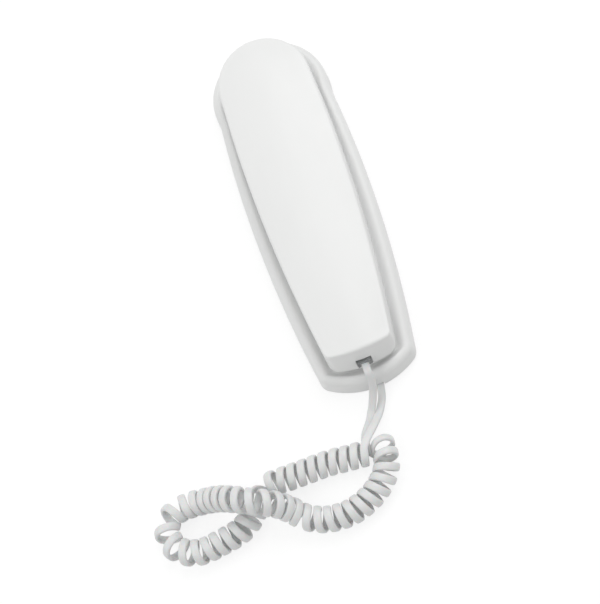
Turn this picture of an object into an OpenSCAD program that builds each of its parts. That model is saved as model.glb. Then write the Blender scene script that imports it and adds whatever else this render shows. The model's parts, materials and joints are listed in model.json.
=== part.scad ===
// Slimline wall telephone: a slim handset lying in a slightly larger dished base,
// joined by a curly handset cord. All lengths are in millimetres.
// +Y points to the earpiece end, +Z away from the table, and z = 0 is the table.

/* [Base] */
// Length of the base
base_l = 225; // [218:1:240]
// Width of the base where it is widest
base_w = 73.4; // [72:0.2:80]
// Height of the rim's crest above the table
base_h = 14.5; // [14:0.1:16]
// Radius of the long sides of the base
base_side_r = 730; // [600:10:1200]
// Distance of the widest place from the middle, towards the earpiece
base_wide_y = 15; // [5:1:25]
// Radius of the curved cord end of the base
base_end_r = 44; // [40:1:60]
// Corner radius at the cord end of the base
base_corner_r = 7; // [5:0.5:9]
// Radius of the round earpiece end of the base
base_head_r = 35.6; // [35:0.1:38]
// Wall thickness of the base shell
base_wall = 2.2; // [1.8:0.1:2.6]
// Rounding of the rim
rim_round = 4.5; // [3.5:0.1:5]
// Depth of the trough below the rim's crest
trough_depth = 3.7; // [3:0.1:3.8]
// Thickness of the base plate
plate_t = 1.8; // [1.4:0.1:2]
// Height of the rubber feet below the base plate
foot_h = 1.2; // [1:0.1:1.6]
// Radius of a rubber foot
foot_r = 5; // [4:0.5:6]

/* [Handset] */
// Distance from the base's cord end to the handset's cord end
hs_end_gap = 8; // [7:0.5:10]
// Length of the handset
hs_l = 207.5; // [200:0.5:210]
// Width of the handset where it is widest
hs_w = 57; // [54:0.5:60]
// Height of the handset's sides
hs_side_h = 20; // [18:0.5:24]
// Rise of the crowned back above its edges
hs_crown = 3.5; // [2:0.5:5]
// Radius of the handset's long sides
hs_side_r = 890; // [700:10:1400]
// Radius of the handset's curved cord end
hs_end_r = 55; // [45:1:70]
// Corner radius at the handset's cord end
hs_corner_r = 4; // [3:0.5:5]
// Length of the rounded earpiece end of the handset
hs_head_l = 30; // [27:0.5:34]
// Wall thickness of the handset covers
hs_wall = 2; // [1.6:0.1:2.4]
// Height of the front cover, from its face to the parting line
hs_split_h = 3.5; // [3.2:0.1:4.5]
// Rounding between the handset's sides and its back
hs_round = 2.6; // [1.5:0.1:3.5]
// Lean of the handset's cord end over its height
hs_end_lean = 3; // [1:0.5:4]
// Gap between the handset's face and the base platform
rest_gap = 1; // [0.8:0.1:1.4]

/* [Earpiece and mouthpiece] */
// Distance of the earpiece from the handset's top
ear_from_top = 31; // [30:0.5:33]
// Radius of the earpiece cup
ear_r = 19; // [18:0.5:20]
// How far the earpiece cup stands out of the face
ear_out = 3.2; // [2.5:0.1:3.4]
// Radius of the receiver capsule
receiver_r = 15.5; // [14:0.5:16]
// Height of the receiver capsule
receiver_h = 7; // [5:0.5:9]
// Distance of the mouthpiece from the handset's cord end
mouth_from_end = 36.5; // [35:0.5:38]
// Radius of the mouthpiece cup
mouth_r = 10; // [9.5:0.5:11]
// How far the mouthpiece cup stands out of the face
mouth_out = 2.4; // [2:0.1:2.6]
// Radius of the microphone capsule
mic_r = 4.85; // [4.5:0.05:5]
// Height of the microphone capsule
mic_h = 5; // [4:0.5:6]

/* [Keys] */
// Width of a key
key_w = 9.6; // [9:0.1:10]
// Length of a key
key_l = 7.2; // [6.5:0.1:7.6]
// Distance between key columns
key_pitch_x = 13; // [12.6:0.1:13.4]
// Distance between key rows
key_pitch_y = 11.5; // [11.2:0.1:11.8]
// Distance from the earpiece to the first row of keys
key_from_ear = 47; // [46:0.5:48]
// Extra distance from the last digit row to the function keys
function_gap = 1; // [0:0.5:1.5]
// How far the keys stand out of the face
key_out = 1.2; // [0.9:0.1:1.3]
// Travel of a key
key_travel = 1.2; // [0.8:0.1:1.3]
// Gap round a key in its opening
key_gap = 0.35; // [0.3:0.05:0.45]
// Width of the volume slider's thumb piece
slider_w = 4; // [3.5:0.1:4.5]
// Travel of the volume slider to each side
slider_travel = 2; // [1.5:0.1:2.5]

/* [Jacks and cord] */
// Width of the modular plugs on the handset cord
plug_w = 7.65; // [7.4:0.05:7.8]
// Height of the modular plugs
plug_h = 6.5; // [6.2:0.05:6.6]
// Length of the modular plugs
plug_l = 12.4; // [11.5:0.1:13]
// Distance of the base jack from the centre line
base_jack_x = 3.2; // [3:0.1:5]
// Width of the line jack's mouth
line_mouth_w = 9.7; // [9.5:0.1:9.9]
// Mean radius of the cord's curls
curl_r = 5.9; // [5.5:0.1:6]
// Distance between curls where the cord lies straight
curl_pitch = 5.8; // [5.6:0.1:6.2]
// Width of the flat cord
cord_w = 3.8; // [3.4:0.1:4]
// Thickness of the flat cord
cord_t = 2.2; // [2:0.1:2.2]

/* [Wall mounting] */
// Radius of the keyholes' round part
keyhole_r = 4.75; // [4.5:0.05:5]
// Width of the keyholes' slot
keyslot_w = 4.8; // [4.4:0.1:5]
// Length of the keyholes' slot
keyslot_l = 9; // [8:0.5:10]
// Distance between the two wall studs
stud_spacing = 103.4; // [100:0.1:105]
// Distance of the upper keyhole from the middle
upper_keyhole_y = 56; // [54:0.5:57]

/* [Hook switch] */
// Radius of the hook plunger's cap
plunger_r = 3.4; // [3:0.1:3.6]
// Rise of the hook plunger when the handset is lifted
plunger_rise = 3; // [2.5:0.1:3]
// Distance of the plunger from the earpiece
plunger_from_ear = 34; // [33.5:0.5:34.5]

/* [Hidden] */
$fn = 64;
fit_gap = 0.3;
slide_gap = 0.4;
tiny = 0.01;
far = 60;

KEY_NAMES = ["1", "2", "3", "4", "5", "6", "7", "8", "9", "star", "0", "hash"];

// ---- levels, from the table up ----
plate_z = foot_h;
floor_z = plate_z + plate_t;
trough_z = base_h - trough_depth;
trough_skin = 2;
ceiling_z = trough_z - trough_skin;
face_lift = 0.5;
face_z = base_h + face_lift;
platform_z = face_z - rest_gap;
platform_in_z = platform_z - 2;
split_z = face_z + hs_split_h;
inner_z = face_z + 2;
side_top_z = face_z + hs_side_h;

// ---- outlines: two long arcs, an end arc with corner arcs, and a round head ----
END_N = 4;
CORNER_N = 4;
SIDE_N = 12;
HEAD_N = 8;
HALF_N = END_N + CORNER_N + SIDE_N + HEAD_N;

function unit(v) = v / norm(v);
function smooth_max(a, b, k) = max(a, b) + (k > 0 ? pow(max(k - abs(a - b), 0), 2) / (4 * k) : 0);

// Centre of a circle of radius c inside both circles (p, r) and (q, s), on the right below
function corner_centre(p, r, q, s, c) =
    let (d = norm(q - p), u = (q - p) / d, a = r - c, b = s - c,
         along = (a * a - b * b + d * d) / (2 * d),
         off = sqrt(max(a * a - along * along, 0)))
    p + u * along + off * [u.y, -u.x];

// hw half width, sr side radius, wy widest y, y0 end y, er end radius, cr corner radius,
// hy head centre y, hx and hl head half width and length, bulge blend of head and side
function half_outline(hw, sr, wy, y0, er, cr, hy, hx, hl, bulge) =
    let (side_c = [hw - sr, wy], end_c = [0, y0 + er],
         c = corner_centre(side_c, sr, end_c, er, cr),
         a_end = atan2(c.y - end_c.y, c.x - end_c.x),
         a_side = atan2(c.y - side_c.y, c.x - side_c.x),
         y_side = side_c.y + sr * sin(a_side))
    concat(
        [for (i = [0:END_N - 1]) let (a = -90 + (a_end + 90) * i / END_N)
            [end_c.x + er * cos(a), end_c.y + er * sin(a)]],
        [for (i = [0:CORNER_N - 1]) let (a = a_end + (a_side - a_end) * i / CORNER_N)
            [c.x + cr * cos(a), c.y + cr * sin(a)]],
        [for (i = [0:SIDE_N - 1]) let (t = i / SIDE_N, y = hy + (y_side - hy) * pow(1 - t, 1.5),
                side_x = side_c.x + sqrt(sr * sr - pow(y - wy, 2)),
                head_x = hx * sqrt(max(1 - pow((y - hy) / hl, 2), 0)))
            [smooth_max(side_x, head_x, bulge), y]],
        [for (i = [0:HEAD_N]) let (a = 90 * i / HEAD_N) [hx * cos(a), hy + hl * sin(a)]]);

function whole_outline(h) = concat(h, [for (i = [HALF_N - 1:-1:1]) [-h[i].x, h[i].y]]);

base_end_y = -base_l / 2;
base_head_y = base_l / 2 - base_head_r;
head_bulge = 1.4;
corner_min = 1.2;

// Base outline drawn in by d
function base_outline(d) = whole_outline(half_outline(
    base_w / 2 - d, base_side_r - d, base_wide_y, base_end_y + d, base_end_r - d,
    max(base_corner_r - d, corner_min), base_head_y, base_head_r - d, base_head_r - d, head_bulge));

hs_end_y = base_end_y + hs_end_gap;
hs_top_y = hs_end_y + hs_l;
hs_head_y = hs_top_y - hs_head_l;
hs_wide_y = hs_end_y + hs_l * 0.66;
hs_head_w = hs_w - 1.8;
platform_cut = 10;
function hs_side_x(y) = hs_w / 2 - hs_side_r + sqrt(hs_side_r * hs_side_r - pow(y - hs_wide_y, 2));

// Handset outline drawn in by d, with its cord end a further e inside
function hs_outline(d, e) = whole_outline(half_outline(
    hs_w / 2 - d, hs_side_r - d, hs_wide_y, hs_end_y + d + e, hs_end_r - d,
    max(hs_corner_r - d / 2, corner_min), hs_head_y, hs_head_w / 2 - d, hs_head_l - d, 0.2));

function level(p, z) = [for (q = p) [q.x, q.y, z]];
function mix(p, q, t) = [for (i = [0:len(p) - 1]) p[i] * (1 - t) + q[i] * t];

// Closed skin through rings of equal length. The cap at each end is made of left-right
// strips up to the pair k of points, and of fans from that pair beyond it.
module loft(rings, k = HALF_N - 1) {
    n = len(rings[0]);
    h = n / 2;
    top = (len(rings) - 1) * n;
    sides = [for (s = [0:len(rings) - 2], i = [0:n - 1])
        let (a = s * n + i, b = s * n + (i + 1) % n, c = b + n, d = a + n)
        each [[a, d, c], [a, c, b]]];
    strips = [for (i = [1:k - 1]) each [[i, i + 1, n - i - 1], [i, n - i - 1, n - i]]];
    fans = [for (i = [k + 1:1:h - 1]) each [[k, i, i + 1], [n - k, n - i - 1, n - i]]];
    first = concat([[0, 1, n - 1]], strips, [[k, h, n - k]], fans);
    last = [for (f = first) [top + f[2], top + f[1], top + f[0]]];
    polyhedron([for (r = rings) each r], concat(sides, first, last));
}

// ---- places that several pieces share ----
ear_y = hs_top_y - ear_from_top;
mouth_y = hs_end_y + mouth_from_end;
plunger_y = ear_y - plunger_from_ear;
key_y0 = ear_y - key_from_ear;
function_y = key_y0 - 4 * key_pitch_y - function_gap;
slider_y = function_y - 12;
well_gap = 2.5;
mouth_well_r = mouth_r + well_gap;
key_floor_z = face_z - key_out - 1.2;
key_bay_top_y = key_y0 + key_l / 2 + 1.4;
key_bay_end_y = slider_y - 5.5;
key_bay_w = 2 * key_pitch_x + key_w + 2.2;
platform_in = 5;
hollow_in = 7;
lower_keyhole_y = upper_keyhole_y - stud_spacing;

module box(x0, x1, y0, y1, z0, z1) {
    translate([x0, y0, z0])
        cube([x1 - x0, y1 - y0, z1 - z0]);
}

module rod(x, y, z0, z1, r) {
    translate([x, y, z0])
        cylinder(h = z1 - z0, r = r);
}

module slab(outline, z0, z1) {
    translate([0, 0, z0])
        linear_extrude(z1 - z0)
            polygon(outline);
}

// Box with rounded upright edges, centred at x, y
module pill(x, y, w, l, r, z0, z1) {
    translate([x, y, z0])
        linear_extrude(z1 - z0) {
            square([w - 2 * r, l], center = true);
            square([w, l - 2 * r], center = true);
            for (sx = [-1, 1], sy = [-1, 1])
                translate([sx * (w / 2 - r), sy * (l / 2 - r)])
                    circle(r);
        }
}

// ---- base ----
rim_draft = 0.6;
screw_r = 1.2;
screw_head_r = 2.6;
screw_head_h = 1.2;
screw_l = 6;
boss_r = 3.2;
rib_t = 1.4;
// Screws and feet keep their distance from the side walls and from the ends
screw_in = 3;
screw_from_head = 16;
screw_from_end = 28;
foot_in = 1.1;
upper_foot_in = 3.4;
foot_from_head = 4;
foot_from_end = 17;
function base_side_x(y) = base_w / 2 - base_side_r
    + sqrt(base_side_r * base_side_r - pow(y - base_wide_y, 2));
base_screw_spots = [for (y = [base_head_y - screw_from_head, base_end_y + screw_from_end], m = [-1, 1])
    [m * (base_side_x(y) - base_wall - screw_in - boss_r), y]];
upper_foot = [base_head_r - base_wall - upper_foot_in - foot_r, base_head_y + foot_from_head];
lower_foot_y = base_end_y + foot_from_end;
lower_foot = [base_side_x(lower_foot_y) - base_wall - foot_in - foot_r, lower_foot_y];
foot_spots = [for (f = [upper_foot, lower_foot], m = [-1, 1]) [m * f.x, f.y]];
foot_sink = 0.6;
foot_t = foot_h + foot_sink;
plunger_hole_r = plunger_r + slide_gap;

hook_w = 9;
hook_l = 8;
hook_t = 2;
hook_y = ear_y - ear_r - 1 - hook_l;
switch_w = 13;
switch_l = 10;
switch_h = 3;

jack_wall = 0.65;
mouth_gap = 0.15;
jack_w = plug_w + 2 * mouth_gap + 2 * jack_wall + 1.4;
jack_h = plug_h + 2 * mouth_gap + 2 * jack_wall;
base_jack_z = plate_z;
base_jack_top = base_jack_z + jack_h;
base_jack_l = 13.5;
// the hollow's end is curved, so the jack's corners stand off it
base_jack_y = hs_end_y + hollow_in + pow(base_jack_x + jack_w / 2, 2) / (2 * (hs_end_r - hollow_in)) + 0.1;
base_plug_z = base_jack_z + jack_wall + mouth_gap + plug_h / 2;
plug_in = 8;
base_plug_y = base_jack_y + plug_in - plug_l;

line_mouth_h = plug_h + 2 * mouth_gap;
line_jack_w = line_mouth_w + 2 * jack_wall + 1.2;
line_jack_h = line_mouth_h + 2 * jack_wall;
line_jack_top = plate_z + line_jack_h;
line_jack_l = 14;
line_jack_y = lower_keyhole_y + keyslot_l + 11;
line_bay_y = line_jack_y + line_jack_l;
line_bay_l = 18;
line_bay_w = 16;
bay_wall = 1.2;
key_pan_z = key_floor_z - 2;
// Lands on the platform that the handset's face rests on
land_w = 5;
upper_land = [18, plunger_y + 3];
lower_land = [13, mouth_y + 20];
notch_w = 5.8;
notch_top_z = 5.8;

// Solid of the shell seen from above: side wall, rounded rim and dished trough
function rim_rings() = [for (k = [0:3]) let (a = 30 * k)
    level(base_outline(rim_draft + rim_round * (1 - cos(a))),
          base_h - rim_round * (1 - sin(a)))];

function trough_rings() =
    let (rim = base_outline(rim_draft + rim_round), edge = hs_outline(1, 0))
    [for (t = [0.35, 0.7, 1]) level(mix(rim, edge, t), base_h - trough_depth * (t * t * (3 - 2 * t)))];

// Outline of the platform under the handset, drawn in by d. It ends in a hollow curve of
// radius r round the earpiece, cut off level at the sides.
function platform_outline(d, r) =
    let (cut_y = ear_y - platform_cut - d, a_cut = asin(-(platform_cut + d) / r),
         plain = half_outline(hs_w / 2 - d, hs_side_r - d, hs_wide_y, hs_end_y + d, hs_end_r - d,
                              max(hs_corner_r - d / 2, corner_min), cut_y, 0, 1, 0))
    whole_outline(concat(
        [for (i = [0:HALF_N - HEAD_N - 1]) plain[i]],
        [[hs_side_x(cut_y) - d, cut_y]],
        [for (i = [1:HEAD_N]) let (a = a_cut + (-90 - a_cut) * (i - 1) / (HEAD_N - 1))
            [r * cos(a), ear_y + r * sin(a)]]));

// Upper shell with its platform, drawn from the underside of the platform outwards
module base_dish() {
    inner = base_outline(base_wall);
    well_r = ear_r + well_gap;
    hollow = platform_outline(hollow_in, well_r + trough_skin);
    raised = platform_outline(platform_in, well_r);
    loft(concat(
        [level(hollow, platform_in_z),
         level(hollow, ceiling_z),
         level(hs_outline(2, 0), ceiling_z),
         level(base_outline(base_wall + 3.4), base_h - 2.6),
         level(inner, base_h - rim_round - 1),
         level(inner, plate_z),
         level(base_outline(0), plate_z)],
        rim_rings(),
        trough_rings(),
        [level(hs_outline(3, 0), trough_z),
         level(raised, trough_z),
         level(raised, platform_z)]),
        HALF_N - HEAD_N - 2);
}

module key_bay(d, z0, z1) {
    box(-key_bay_w / 2 - d, key_bay_w / 2 + d, key_bay_end_y - d, key_bay_top_y + d, z0, z1);
}

module line_bay(d, z0, z1) {
    box(-line_bay_w / 2 - d, line_bay_w / 2 + d, line_jack_y - fit_gap - d,
        line_bay_y + line_bay_l + d, z0, z1);
}

module base_shell() {
    color("white")
    difference() {
        union() {
            base_dish();
            for (p = [upper_land, lower_land], m = [-1, 1])
                box(m * p.x - land_w / 2, m * p.x + land_w / 2, p.y - land_w / 2, p.y + land_w / 2,
                    platform_z - 1, face_z);
            rod(0, mouth_y, face_z - mouth_out - 3, platform_z - 1, mouth_well_r + 2);
            key_bay(1.5, key_pan_z, platform_z - 1);
            for (s = base_screw_spots) {
                rod(s.x, s.y, floor_z, trough_z - 1, boss_r);
                // rib from the boss to the side wall
                rib_end = sign(s.x) * (base_side_x(s.y) - base_wall / 2);
                box(min(s.x, rib_end), max(s.x, rib_end), s.y - rib_t / 2, s.y + rib_t / 2, floor_z,
                    trough_z - 1);
            }
            box(-hook_w / 2 - 1.5, hook_w / 2 + 1.5, hook_y - 1.5, ear_y - ear_r - 3.2,
                platform_z - hook_t - 1.6, platform_z - 1);
            // pad over each jack, and the walls of the line cord's bay
            box(base_jack_x - jack_w / 2, base_jack_x + jack_w / 2, base_jack_y + 1,
                mouth_y - mouth_well_r - 2.6, base_jack_top, platform_z - 1);
            box(-line_jack_w / 2, line_jack_w / 2, line_jack_y, line_bay_y, line_jack_top, platform_z - 1.6);
            difference() {
                line_bay(bay_wall, floor_z, key_floor_z - 0.5);
                line_bay(0, floor_z - 1, key_pan_z);
            }
        }
        rod(0, mouth_y, face_z - mouth_out - 1, platform_z + 1, mouth_well_r);
        key_bay(0, key_floor_z, platform_z + 1);
        rod(0, plunger_y, ceiling_z - 1, platform_z + 1, plunger_hole_r);
        box(-hook_w / 2 - fit_gap, hook_w / 2 + fit_gap, hook_y - fit_gap, ear_y, platform_z - hook_t,
            platform_z + 1);
        for (s = base_screw_spots)
            rod(s.x, s.y, floor_z - 1, floor_z + screw_l - screw_head_h, screw_r + 0.1);
        // notch for the cord under the end wall
        box(base_jack_x - notch_w / 2, base_jack_x + notch_w / 2, base_end_y - 2, base_end_y + 8,
            plate_z - 1, notch_top_z);
    }
}

module keyhole(y, z0, z1) {
    rod(0, y, z0, z1, keyhole_r);
    box(-keyslot_w / 2, keyslot_w / 2, y, y + keyslot_l, z0, z1);
    rod(0, y + keyslot_l, z0, z1, keyslot_w / 2);
}

keyhole_t = 3;
pad_rim = 2;
pad_w = 2 * (keyhole_r + pad_rim);
pad_l = keyslot_l + 2 * (keyhole_r + pad_rim);
vent_r = 1.2;
vent_ring_r = 8;
ringer_r = 13;
ringer_h = 3;
ringer_y = upper_keyhole_y + (keyslot_l + pad_l) / 2 + 0.15 + ringer_r;
board_x = -20.5;
board_w = 19;
board_l = 76;
board_t = 1.6;
board_lift = 2;
board_y = line_jack_y + 25;

module base_plate() {
    color("gainsboro")
    difference() {
        union() {
            slab(base_outline(base_wall + fit_gap), plate_z, floor_z);
            // thick pads round the keyholes, clear of the hook switch
            difference() {
                for (y = [upper_keyhole_y, lower_keyhole_y])
                    pill(0, y + keyslot_l / 2, pad_w, pad_l, 3, floor_z - 0.5, plate_z + keyhole_t);
                box(-switch_w / 2 - fit_gap, switch_w / 2 + fit_gap, plunger_y - switch_l / 2 - fit_gap,
                    plunger_y + switch_l / 2 + fit_gap, floor_z, plate_z + keyhole_t + 1);
            }
            for (sx = [-1, 1], sy = [-1, 1])
                rod(board_x + sx * (board_w / 2 - 2.5), board_y + sy * (board_l / 2 - 3), floor_z - 0.5,
                    floor_z + board_lift, 2);
        }
        for (y = [upper_keyhole_y, lower_keyhole_y])
            keyhole(y, plate_z - 1, plate_z + keyhole_t + 1);
        for (s = base_screw_spots) {
            rod(s.x, s.y, plate_z - 1, floor_z + 1, screw_r + 0.3);
            rod(s.x, s.y, plate_z - 1, plate_z + screw_head_h, screw_head_r + fit_gap);
        }
        for (f = foot_spots)
            rod(f.x, f.y, plate_z - 1, plate_z + foot_sink, foot_r);
        for (a = [0:45:315])
            rod(vent_ring_r * cos(a), ringer_y + vent_ring_r * sin(a), plate_z - 1, floor_z + 1, vent_r);
        // openings for the line jack with its bay, and for the base jack with its plug
        line_bay(0, plate_z - 1, floor_z + 1);
        box(base_jack_x - jack_w / 2 - fit_gap, base_jack_x + jack_w / 2 + fit_gap, base_end_y - 1,
            base_jack_y + base_jack_l + fit_gap, plate_z - 1, floor_z + 1);
    }
}

module base_feet() {
    color("dimgray")
    for (f = foot_spots)
        rod(f.x, f.y, 0, foot_t, foot_r);
}

module base_screws() {
    color("silver")
    for (s = base_screw_spots) {
        rod(s.x, s.y, plate_z, plate_z + screw_head_h, screw_head_r);
        rod(s.x, s.y, plate_z, plate_z + screw_l, screw_r);
    }
}

weight_x = 20;
weight_w = 16;
weight_t = 4.5;

module base_weight() {
    color("slategray")
    box(weight_x - weight_w / 2, weight_x + weight_w / 2, board_y - board_l / 2 + 3,
        board_y + board_l / 2 - 3, floor_z, floor_z + weight_t);
}

board_z = floor_z + board_lift;
board_top_z = board_z + board_t;

module base_board() {
    chip = [7, 10, 1.4];
    color("seagreen")
    box(board_x - board_w / 2, board_x + board_w / 2, board_y - board_l / 2, board_y + board_l / 2,
        board_z, board_top_z);
    color("black")
    for (y = [-24, 0])
        translate([board_x - chip.x / 2, board_y + y - chip.y / 2, board_top_z - tiny])
            cube(chip);
    color("royalblue")
    for (y = [14, 22])
        rod(board_x + 3, board_y + y, board_top_z - tiny, board_top_z + 2, 2.6);
}

stem_r = 1.3;
flange_z = platform_in_z - plunger_rise - 1;
flange_r = 4.4;

module hook_switch() {
    color("black")
    difference() {
        box(-switch_w / 2, switch_w / 2, plunger_y - switch_l / 2, plunger_y + switch_l / 2, floor_z,
            floor_z + switch_h);
        rod(0, plunger_y, floor_z + 0.4, floor_z + switch_h + 1, stem_r + 0.2);
    }
}

module hook_plunger() {
    color("white")
    union() {
        rod(0, plunger_y, flange_z, face_z - 0.6, plunger_r);
        translate([0, plunger_y, face_z - 0.6])
            cylinder(h = 0.5, r1 = plunger_r, r2 = plunger_r - 0.5, $fn = 96);
        rod(0, plunger_y, flange_z, flange_z + 1, flange_r);
        rod(0, plunger_y, floor_z + 0.6, flange_z + tiny, stem_r);
    }
}

module plunger_spring() {
    color("silver")
    difference() {
        rod(0, plunger_y, floor_z + switch_h, flange_z, stem_r + 1.5);
        rod(0, plunger_y, floor_z, face_z, stem_r + 0.7);
    }
}

// Reversible tab that holds the handset on a wall, here turned flat for a table
module handset_hook() {
    grip_w = 5;
    color("white")
    difference() {
        box(-hook_w / 2, hook_w / 2, hook_y, hook_y + hook_l, platform_z - hook_t, platform_z);
        for (y = [2, 4])
            box(-grip_w / 2, grip_w / 2, hook_y + y, hook_y + y + 1, platform_z - 0.5, platform_z + 1);
    }
}

module ringer() {
    color("goldenrod")
    difference() {
        rod(0, ringer_y, floor_z, floor_z + ringer_h, ringer_r);
        rod(0, ringer_y, floor_z - 1, floor_z + ringer_h - 1, ringer_r - 1.2);
    }
}

// Modular jack with its mouth towards y0, its floor at z0 and its centre at x
module modular_jack(x, y0, z0, w, h, l, mouth_w, mouth_h) {
    notch = 3;
    color("ivory")
    difference() {
        box(x - w / 2, x + w / 2, y0, y0 + l, z0, z0 + h);
        box(x - mouth_w / 2, x + mouth_w / 2, y0 - 1, y0 + l - 2.5, z0 + jack_wall, z0 + jack_wall + mouth_h);
        box(x - notch / 2, x + notch / 2, y0 - 1, y0 + 3, z0 + jack_wall + mouth_h - 1, z0 + h + 1);
    }
}

module base_jack() {
    modular_jack(base_jack_x, base_jack_y, base_jack_z, jack_w, jack_h, base_jack_l,
                 plug_w + 2 * mouth_gap, plug_h + 2 * mouth_gap);
}

module line_jack() {
    translate([0, line_jack_y + line_bay_y, 0])
        mirror([0, 1, 0])
            modular_jack(0, line_jack_y, plate_z, line_jack_w, line_jack_h, line_jack_l,
                         line_mouth_w, line_mouth_h);
}

// ---- handset ----
hs_screw_x = 17;
hs_screw_from_ear = 22;
hs_screw_from_slider = 17;
hs_screw_spots = [for (m = [-1, 1]) [m * hs_screw_x, ear_y - hs_screw_from_ear],
    [0, slider_y - hs_screw_from_slider]];
hs_boss_r = 3.2;
hs_screw_l = 9;
hs_board_w = 45;
hs_board_top_y = key_y0 + 9;
hs_board_end_y = slider_y - 8;
mat_t = 1;
flange_t = 0.8;
flange_over = 0.9;
mat_z = inner_z + flange_t + key_travel + 0.1;
hs_board_z = mat_z + mat_t;
hs_board_top_z = hs_board_z + board_t;
hs_jack_z = split_z;
hs_jack_l = 14;
hs_jack_h = jack_h + 1;
// The handset's end wall leans and is curved, so the jack's upper corners stand off it
hs_draft = 0.5;
hs_lean_share = 0.8;
hs_bow = 1.6;
hs_in_round = hs_round - hs_wall / 2;
hs_end_rise = side_top_z - hs_wall - hs_in_round - hs_bow / 2 - split_z;
hs_jack_lean = hs_jack_h * (hs_draft + hs_lean_share * hs_end_lean) / hs_end_rise;
hs_jack_sag = pow(jack_w / 2, 2) / (2 * (hs_end_r - hs_wall));
hs_jack_y = hs_end_y + hs_wall + hs_jack_lean + hs_jack_sag + 0.1;
hs_plug_in = 7.5;
window_gap = 0.3;
window_w = plug_w + 2 * (mouth_gap + window_gap);
window_z = hs_jack_z + jack_wall - window_gap;
window_h = plug_h + 2 * (mouth_gap + window_gap);
hs_plug_z = hs_jack_z + jack_wall + mouth_gap + plug_h / 2;
hs_plug_y = hs_jack_y + hs_plug_in - plug_l;
cup_round = 1.2;

// Round cup with a rounded lower edge
module cup(y, r, z0, z1) {
    translate([0, y, 0])
        rotate_extrude($fn = 96) {
            translate([0, z0])
                square([r - cup_round, z1 - z0]);
            translate([0, z0 + cup_round])
                square([r, z1 - z0 - cup_round]);
            translate([r - cup_round, z0 + cup_round])
                circle(cup_round, $fn = 48);
        }
}

module key_opening(x, y) {
    pill(x, y, key_w + 2 * key_gap, key_l + 2 * key_gap, 1.2, face_z - 1, inner_z + 1);
}

// The face is read from below, so the first column lies on the right
function key_x(k) = (1 - (k % 3)) * key_pitch_x;
function key_y(k) = key_y0 - floor(k / 3) * key_pitch_y;

slider_slot_w = slider_w + 2 * slider_travel + 2 * key_gap;
slider_l = 2.6;

module handset_front() {
    receiver_z = face_z - ear_out + hs_wall;
    mic_z = face_z - mouth_out + 1.8;
    color("white")
    difference() {
        union() {
            loft([
                level(hs_outline(3.8, 0), face_z),
                level(hs_outline(2, 0), face_z + 0.7),
                level(hs_outline(0.8, 0), face_z + 1.8),
                level(hs_outline(0, 0), split_z),
                level(hs_outline(hs_wall, 0), split_z),
                level(hs_outline(hs_wall + 0.9, 0), inner_z)]);
            cup(ear_y, ear_r, face_z - ear_out, inner_z - 0.5);
            cup(mouth_y, mouth_r, face_z - mouth_out, inner_z - 0.5);
            rod(0, ear_y, inner_z - 0.5, inner_z + 2, receiver_r + fit_gap + 1.3);
            rod(0, mouth_y, inner_z - 0.5, inner_z + 2, mic_r + 1.5 + 1.3);
            // studs that carry the board, and the pad that carries the jack
            for (s = [-1, 1]) {
                rod(s * 20.5, hs_board_top_y - 3, inner_z - 0.5, hs_board_z, 1.8);
                rod(s * 16, hs_board_end_y + 3, inner_z - 0.5, hs_board_z, 1.8);
            }
            box(-jack_w / 2, jack_w / 2, hs_jack_y + 2, hs_jack_y + hs_jack_l, inner_z - 0.5, hs_jack_z);
        }
        rod(0, ear_y, receiver_z, split_z + far, receiver_r + fit_gap);
        rod(0, mouth_y, mic_z, split_z + far, mic_r + 1.5);
        // sound holes
        for (r = [0, 4, 8], a = [0:(r == 4 ? 60 : 30):(r == 0 ? 0 : 359)])
            rod(r * cos(a), ear_y + r * sin(a), face_z - ear_out - 1, receiver_z + 1, 0.9);
        for (x = [-2.5, 0, 2.5])
            rod(x, mouth_y, face_z - mouth_out - 1, mic_z + 1, 0.7);
        for (k = [0:11])
            key_opening(key_x(k), key_y(k));
        for (k = [0:2])
            key_opening(key_x(k), function_y);
        box(-slider_slot_w / 2, slider_slot_w / 2, slider_y - slider_l / 2 - key_gap,
            slider_y + slider_l / 2 + key_gap, face_z - 1, inner_z + 1);
        for (s = hs_screw_spots) {
            rod(s.x, s.y, face_z - 1, inner_z + 1, screw_r + 0.3);
            rod(s.x, s.y, face_z - 1, face_z + screw_head_h, screw_head_r + fit_gap);
        }
    }
}

// Fall of the handset's back towards its ends
function bow(y) = -hs_bow * pow((y - (hs_end_y + hs_top_y) / 2) / (hs_l / 2), 2);

edge_angle = 75;
function back_ring(d, lean, z, w) = [for (q = hs_outline(d, lean)) [q.x, q.y, z + w * bow(q.y)]];

// Ring shrunk towards the centre line: a share s of the width and a longer share of the length
function crown_ring(d, lean, z, rise, s) =
    let (mid = (hs_end_y + hs_top_y) / 2, k = 0.35 + 0.65 * s)
    [for (q = hs_outline(d, lean)) let (y = mid + (q.y - mid) * k)
        [q.x * s, y, z + rise * (1 - s * s) + bow(y)]];

// Rings from the parting line up the side, round the edge and over the crown
function back_rings(t) =
    let (top = side_top_z - t, r = hs_round - t / 2, lean = hs_end_lean,
         edge_d = t + hs_draft + r * (1 - cos(edge_angle)), edge_z = top - r + r * sin(edge_angle))
    concat(
        [level(hs_outline(t, 0), split_z),
         back_ring(t + hs_draft, lean * hs_lean_share, top - r, 0.5)],
        [for (k = [1:3]) let (a = edge_angle * k / 3)
            back_ring(t + hs_draft + r * (1 - cos(a)), lean, top - r + r * sin(a), 0.5 + k / 6)],
        [for (s = [0.75, 0.5, 0.25, 0.1]) crown_ring(edge_d, lean, edge_z, hs_crown, s)]);

function reversed(v) = [for (i = [len(v) - 1:-1:0]) v[i]];

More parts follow.
